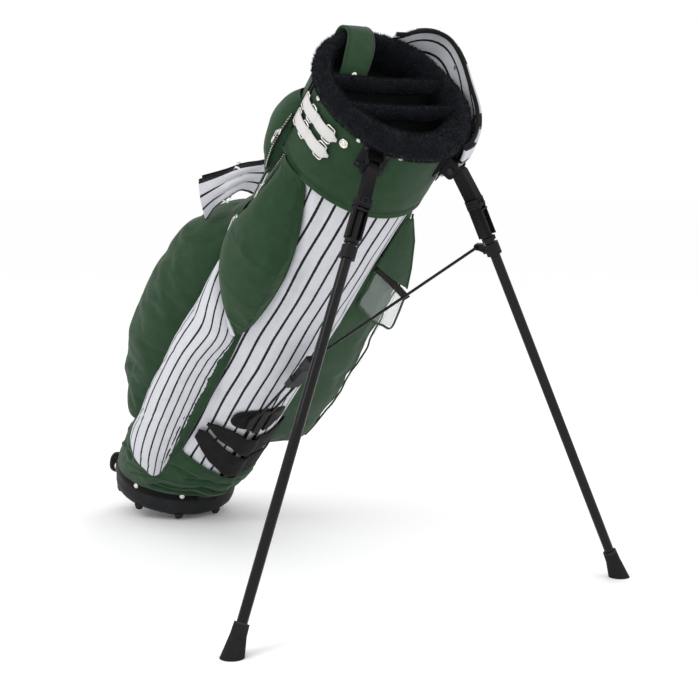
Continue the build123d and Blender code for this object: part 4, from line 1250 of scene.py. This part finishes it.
# rings for a towel, and their webbing tabs
for word in ("left", "right"):
    hinge = np.array(joint[f"towel_ring_{word}_swing"]["pos_m"])
    out = outward_from_tube(hinge[None])[0]
    merge(f"towel_loop_{word}", [frame_of(hinge - UP * 0.0118, UP, out, 25.5, 25.5, 1.5)], nickel,
          f"towel_ring_{word}", stands_for=(f"towel_ring_{word}",))
tabs = []
for angle in (-150.0, 156.0):
    line = around(np.array([104.0, 110.5, 113.2, 112.6, 108.0, 104.2]), angle,
                  np.array([834, 833.5, 829, 823, 820.5, 818]))
    tabs.append(smooth_path(line, 24))
for index, line in enumerate(tabs):
    side_dir = np.cross(UP, outward_from_tube(line[:1])[0])
    out = np.cross(np.gradient(line, axis=0), side_dir)
    out /= np.linalg.norm(out, axis=1, keepdims=True)
    tab = swept(f"ring_tab_{index}", line, out, strap_section(8, 1.2), webbing)
    if index == 0:
        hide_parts("ring_tabs")

# window, elastic and flap on the right pocket's front face
s, w = np.meshgrid(np.linspace(0, 1, 36), np.linspace(0, 1, 36), indexing="ij")
face_x = 77.0 + 1.0 * np.sin(s * math.pi) + 0.7 * ripple(s * 60, w * 90, 40, 95)
low_y, low_z = np.interp(s, (0, 0.5, 1), (72, 118, 160)), np.interp(s, (0, 0.5, 1), (520, 481, 462))
window = spot(face_x, low_y * (1 - w) + (66 + 82 * s) * w, low_z * (1 - w) + (592 - 60 * s) * w)
patch("clear_window_sheet", window, vinyl, thick=0.8, stands_for=("clear_window",))
edge = smooth_path([spot(78.6, y, z) for y, z in (
    (66, 590), (70, 556), (72, 522), (94, 500), (118, 480), (140, 470), (160, 461), (157, 490),
    (148, 531))], 120)
swept("window_binding", edge, np.broadcast_to(FRONT, edge.shape), strap_section(4, 1.0), canvas_deep)
line = smooth_path([spot(79.6, 64, 600), spot(80.4, 92, 580), spot(80.4, 122, 556),
                    spot(79.0, 152, 531)], 60)
swept("elastic_strap", line, np.broadcast_to(FRONT, line.shape), strap_section(11, 1.8), webbing,
      stands_for=("elastic_band",))
s, w = np.meshgrid(np.linspace(0, 1, 24), np.linspace(0, 1, 40), indexing="ij")
outer = np.interp(w, (0, 0.3, 0.7, 1), (138, 122, 96, 70))
flap = spot(80.5 + 5 * np.sin(s * math.pi * 0.9) * (1 - 0.5 * w), 60 + (outer - 60) * s,
            606 + w * 96 - s * 50 * (1 - w))
patch("pocket_flap_cloth", flap, canvas, thick=1.8, stands_for=("pocket_flap",),
      cloth=cloth_of(s * 60, w * 96))
line = flap[-1]
swept("pocket_flap_piping", line, np.broadcast_to(FRONT, line.shape), ring_section(1.3), canvas_deep)

merge("stitching_green", seams_green, thread)
merge("stitching_black", seams_black, thread_black)

# ================================ legs and linkage ============================================
for side, word in ((-1, "left"), (1, "right")):
    swing = joint[f"leg_{word}_swing"]
    pin = np.array(swing["pos_m"])
    axis = np.array(swing["axis"])
    out = np.cross(UP, axis)
    out = out if out @ FRONT > 0 else -out

    def leg_point(along, off=0.0, aside=0.0):
        a = math.radians(LEG_SLOPE)
        x = COLLAR_AT[0] + along * math.cos(a) - off * math.sin(a)
        y = COLLAR_AT[1] + along * math.sin(a) + off * math.cos(a)
        return pin + (out * x + UP * y + axis * aside) / 1000

    off_dir = (leg_point(0, 1) - leg_point(0)) * 1000
    # raised slot and side ribs on the leg head
    ribs = []
    for along, off in ((-62, 9.6), (-54, 9.6)):
        ribs.append(bar(leg_point(along, off, -8), leg_point(along, off, 8), off_dir, 2.2, 1.2, 0.1))
    for aside in (-3.4, 3.4):
        ribs.append(bar(leg_point(-69, 9.7, aside), leg_point(-60, 9.7, aside), off_dir, 1.6, 1.4, 0.1))
    ribs.append(bar(leg_point(-69, 9.7, -4.2), leg_point(-69, 9.7, 4.2), off_dir, 1.6, 1.4, 0.1))
    for aside, spread in ((-11, -1), (11, 1)):
        for along in (-64, -60):
            ribs.append(bar(leg_point(along, -6, aside), leg_point(along, 6, aside), axis * spread,
                            2.0, 1.1, 0.1))
    merge(f"leg_head_ribs_{word}", ribs, grey_plastic, f"leg_{word}", slot="black_plastic")
    screws = []
    for along, off, aside in ((2, -12, 2.5), (2, -12, -2.5)):
        screws.append(lathed(leg_point(along, off, aside), axis * math.copysign(1, aside),
                             ((2.6, 0), (2.6, 0.7), (1.9, 1.1), (1.0, 1.15), (0.9, 0.6), (0.2, 0.6)), 18))
    merge(f"collar_screws_{word}", screws, dark_metal, f"leg_{word}")

PAINTS = {
    "green_canvas": canvas, "stripe_fabric": striped, "black_webbing": webbing, "black_fur": fur,
    "black_plastic": black_plastic, "grey_plastic": grey_plastic, "nickel": nickel, "black_tube": gloss_tube,
    "steel_rod": gloss_tube, "black_rubber": rubber, "white_leather": leather, "clear_vinyl": vinyl,
    "stay_plastic": black_plastic,
}
DARK_PINS = ("bracket_screws", "leg_pivot_pins", "base_pivot_pins")
slots = {part["node"]: part["material_slot"] for part in frame["record"]["subparts"]}
for name, node in frame["nodes"].items():
    node.data.materials.clear()
    node.data.materials.append(dark_metal if name in DARK_PINS else PAINTS[slots[name]])

# ================================ camera, light and floor =====================================
AZIMUTH, ELEVATION = math.radians(55.64), math.radians(6.25)
view_right = np.array([math.cos(AZIMUTH), math.sin(AZIMUTH), 0])
view_back = np.array([math.sin(AZIMUTH) * math.cos(ELEVATION), -math.cos(AZIMUTH) * math.cos(ELEVATION),
                      math.sin(ELEVATION)])
view_up = np.cross(view_back, view_right)
camera_data = bpy.data.cameras.new("camera")
camera = bpy.data.objects.new("camera", camera_data)
bpy.context.scene.collection.objects.link(camera)
turn = Matrix([(*[float(v[k]) for v in (view_right, view_up, view_back)],) for k in range(3)])
camera.matrix_world = Matrix.Translation(Vector((2.1010 + RING[0], -1.0878, 0.527))) @ turn.to_4x4()
camera_data.lens = 73.6
camera_data.sensor_width = 36.0
bpy.context.scene.camera = camera

floor_mesh = bpy.data.meshes.new("floor")
floor_mesh.from_pydata([(-90, -90, 0), (90, -90, 0), (90, 90, 0), (-90, 90, 0)], [], [(0, 1, 2, 3)])
floor = bpy.data.objects.new("floor", floor_mesh)
bpy.context.scene.collection.objects.link(floor)
floor_paint = Paint("pale_floor", (0.99, 0.99, 0.99), 0.9)
floor_paint.set(Specular_IOR_Level=0.0)
floor_mesh.materials.append(floor_paint.material)

world = bpy.data.worlds.new("studio")
bpy.context.scene.world = world
world.use_nodes = True
world.node_tree.nodes["Background"].inputs[0].default_value = (1, 1, 1, 1)
world.node_tree.nodes["Background"].inputs[1].default_value = 1.0


def soft_light(name, place, target, size, power):
    data = bpy.data.lights.new(name, "AREA")
    data.shape = "RECTANGLE"
    data.size, data.size_y = size
    data.energy = power
    lamp = bpy.data.objects.new(name, data)
    bpy.context.scene.collection.objects.link(lamp)
    lamp.location = place
    lamp.rotation_euler = (Vector(target) - Vector(place)).to_track_quat("-Z", "Y").to_euler()


middle = RING + UP * 0.45
key = middle - view_right * 1.5 + view_back * 1.6 + np.array([0, 0, 1.7])
soft_light("key", key, middle, (1.0, 1.4), 22)
fill = middle + view_right * 2.2 + view_back * 1.2 + np.array([0, 0, 0.9])
soft_light("fill", fill, middle, (0.4, 1.8), 4)
rim_light = middle + view_right * 0.6 - view_back * 1.8 + np.array([0, 0, 1.6])
soft_light("rim_light", rim_light, middle, (1.4, 0.5), 8)
bpy.context.scene.view_settings.view_transform = "Standard"
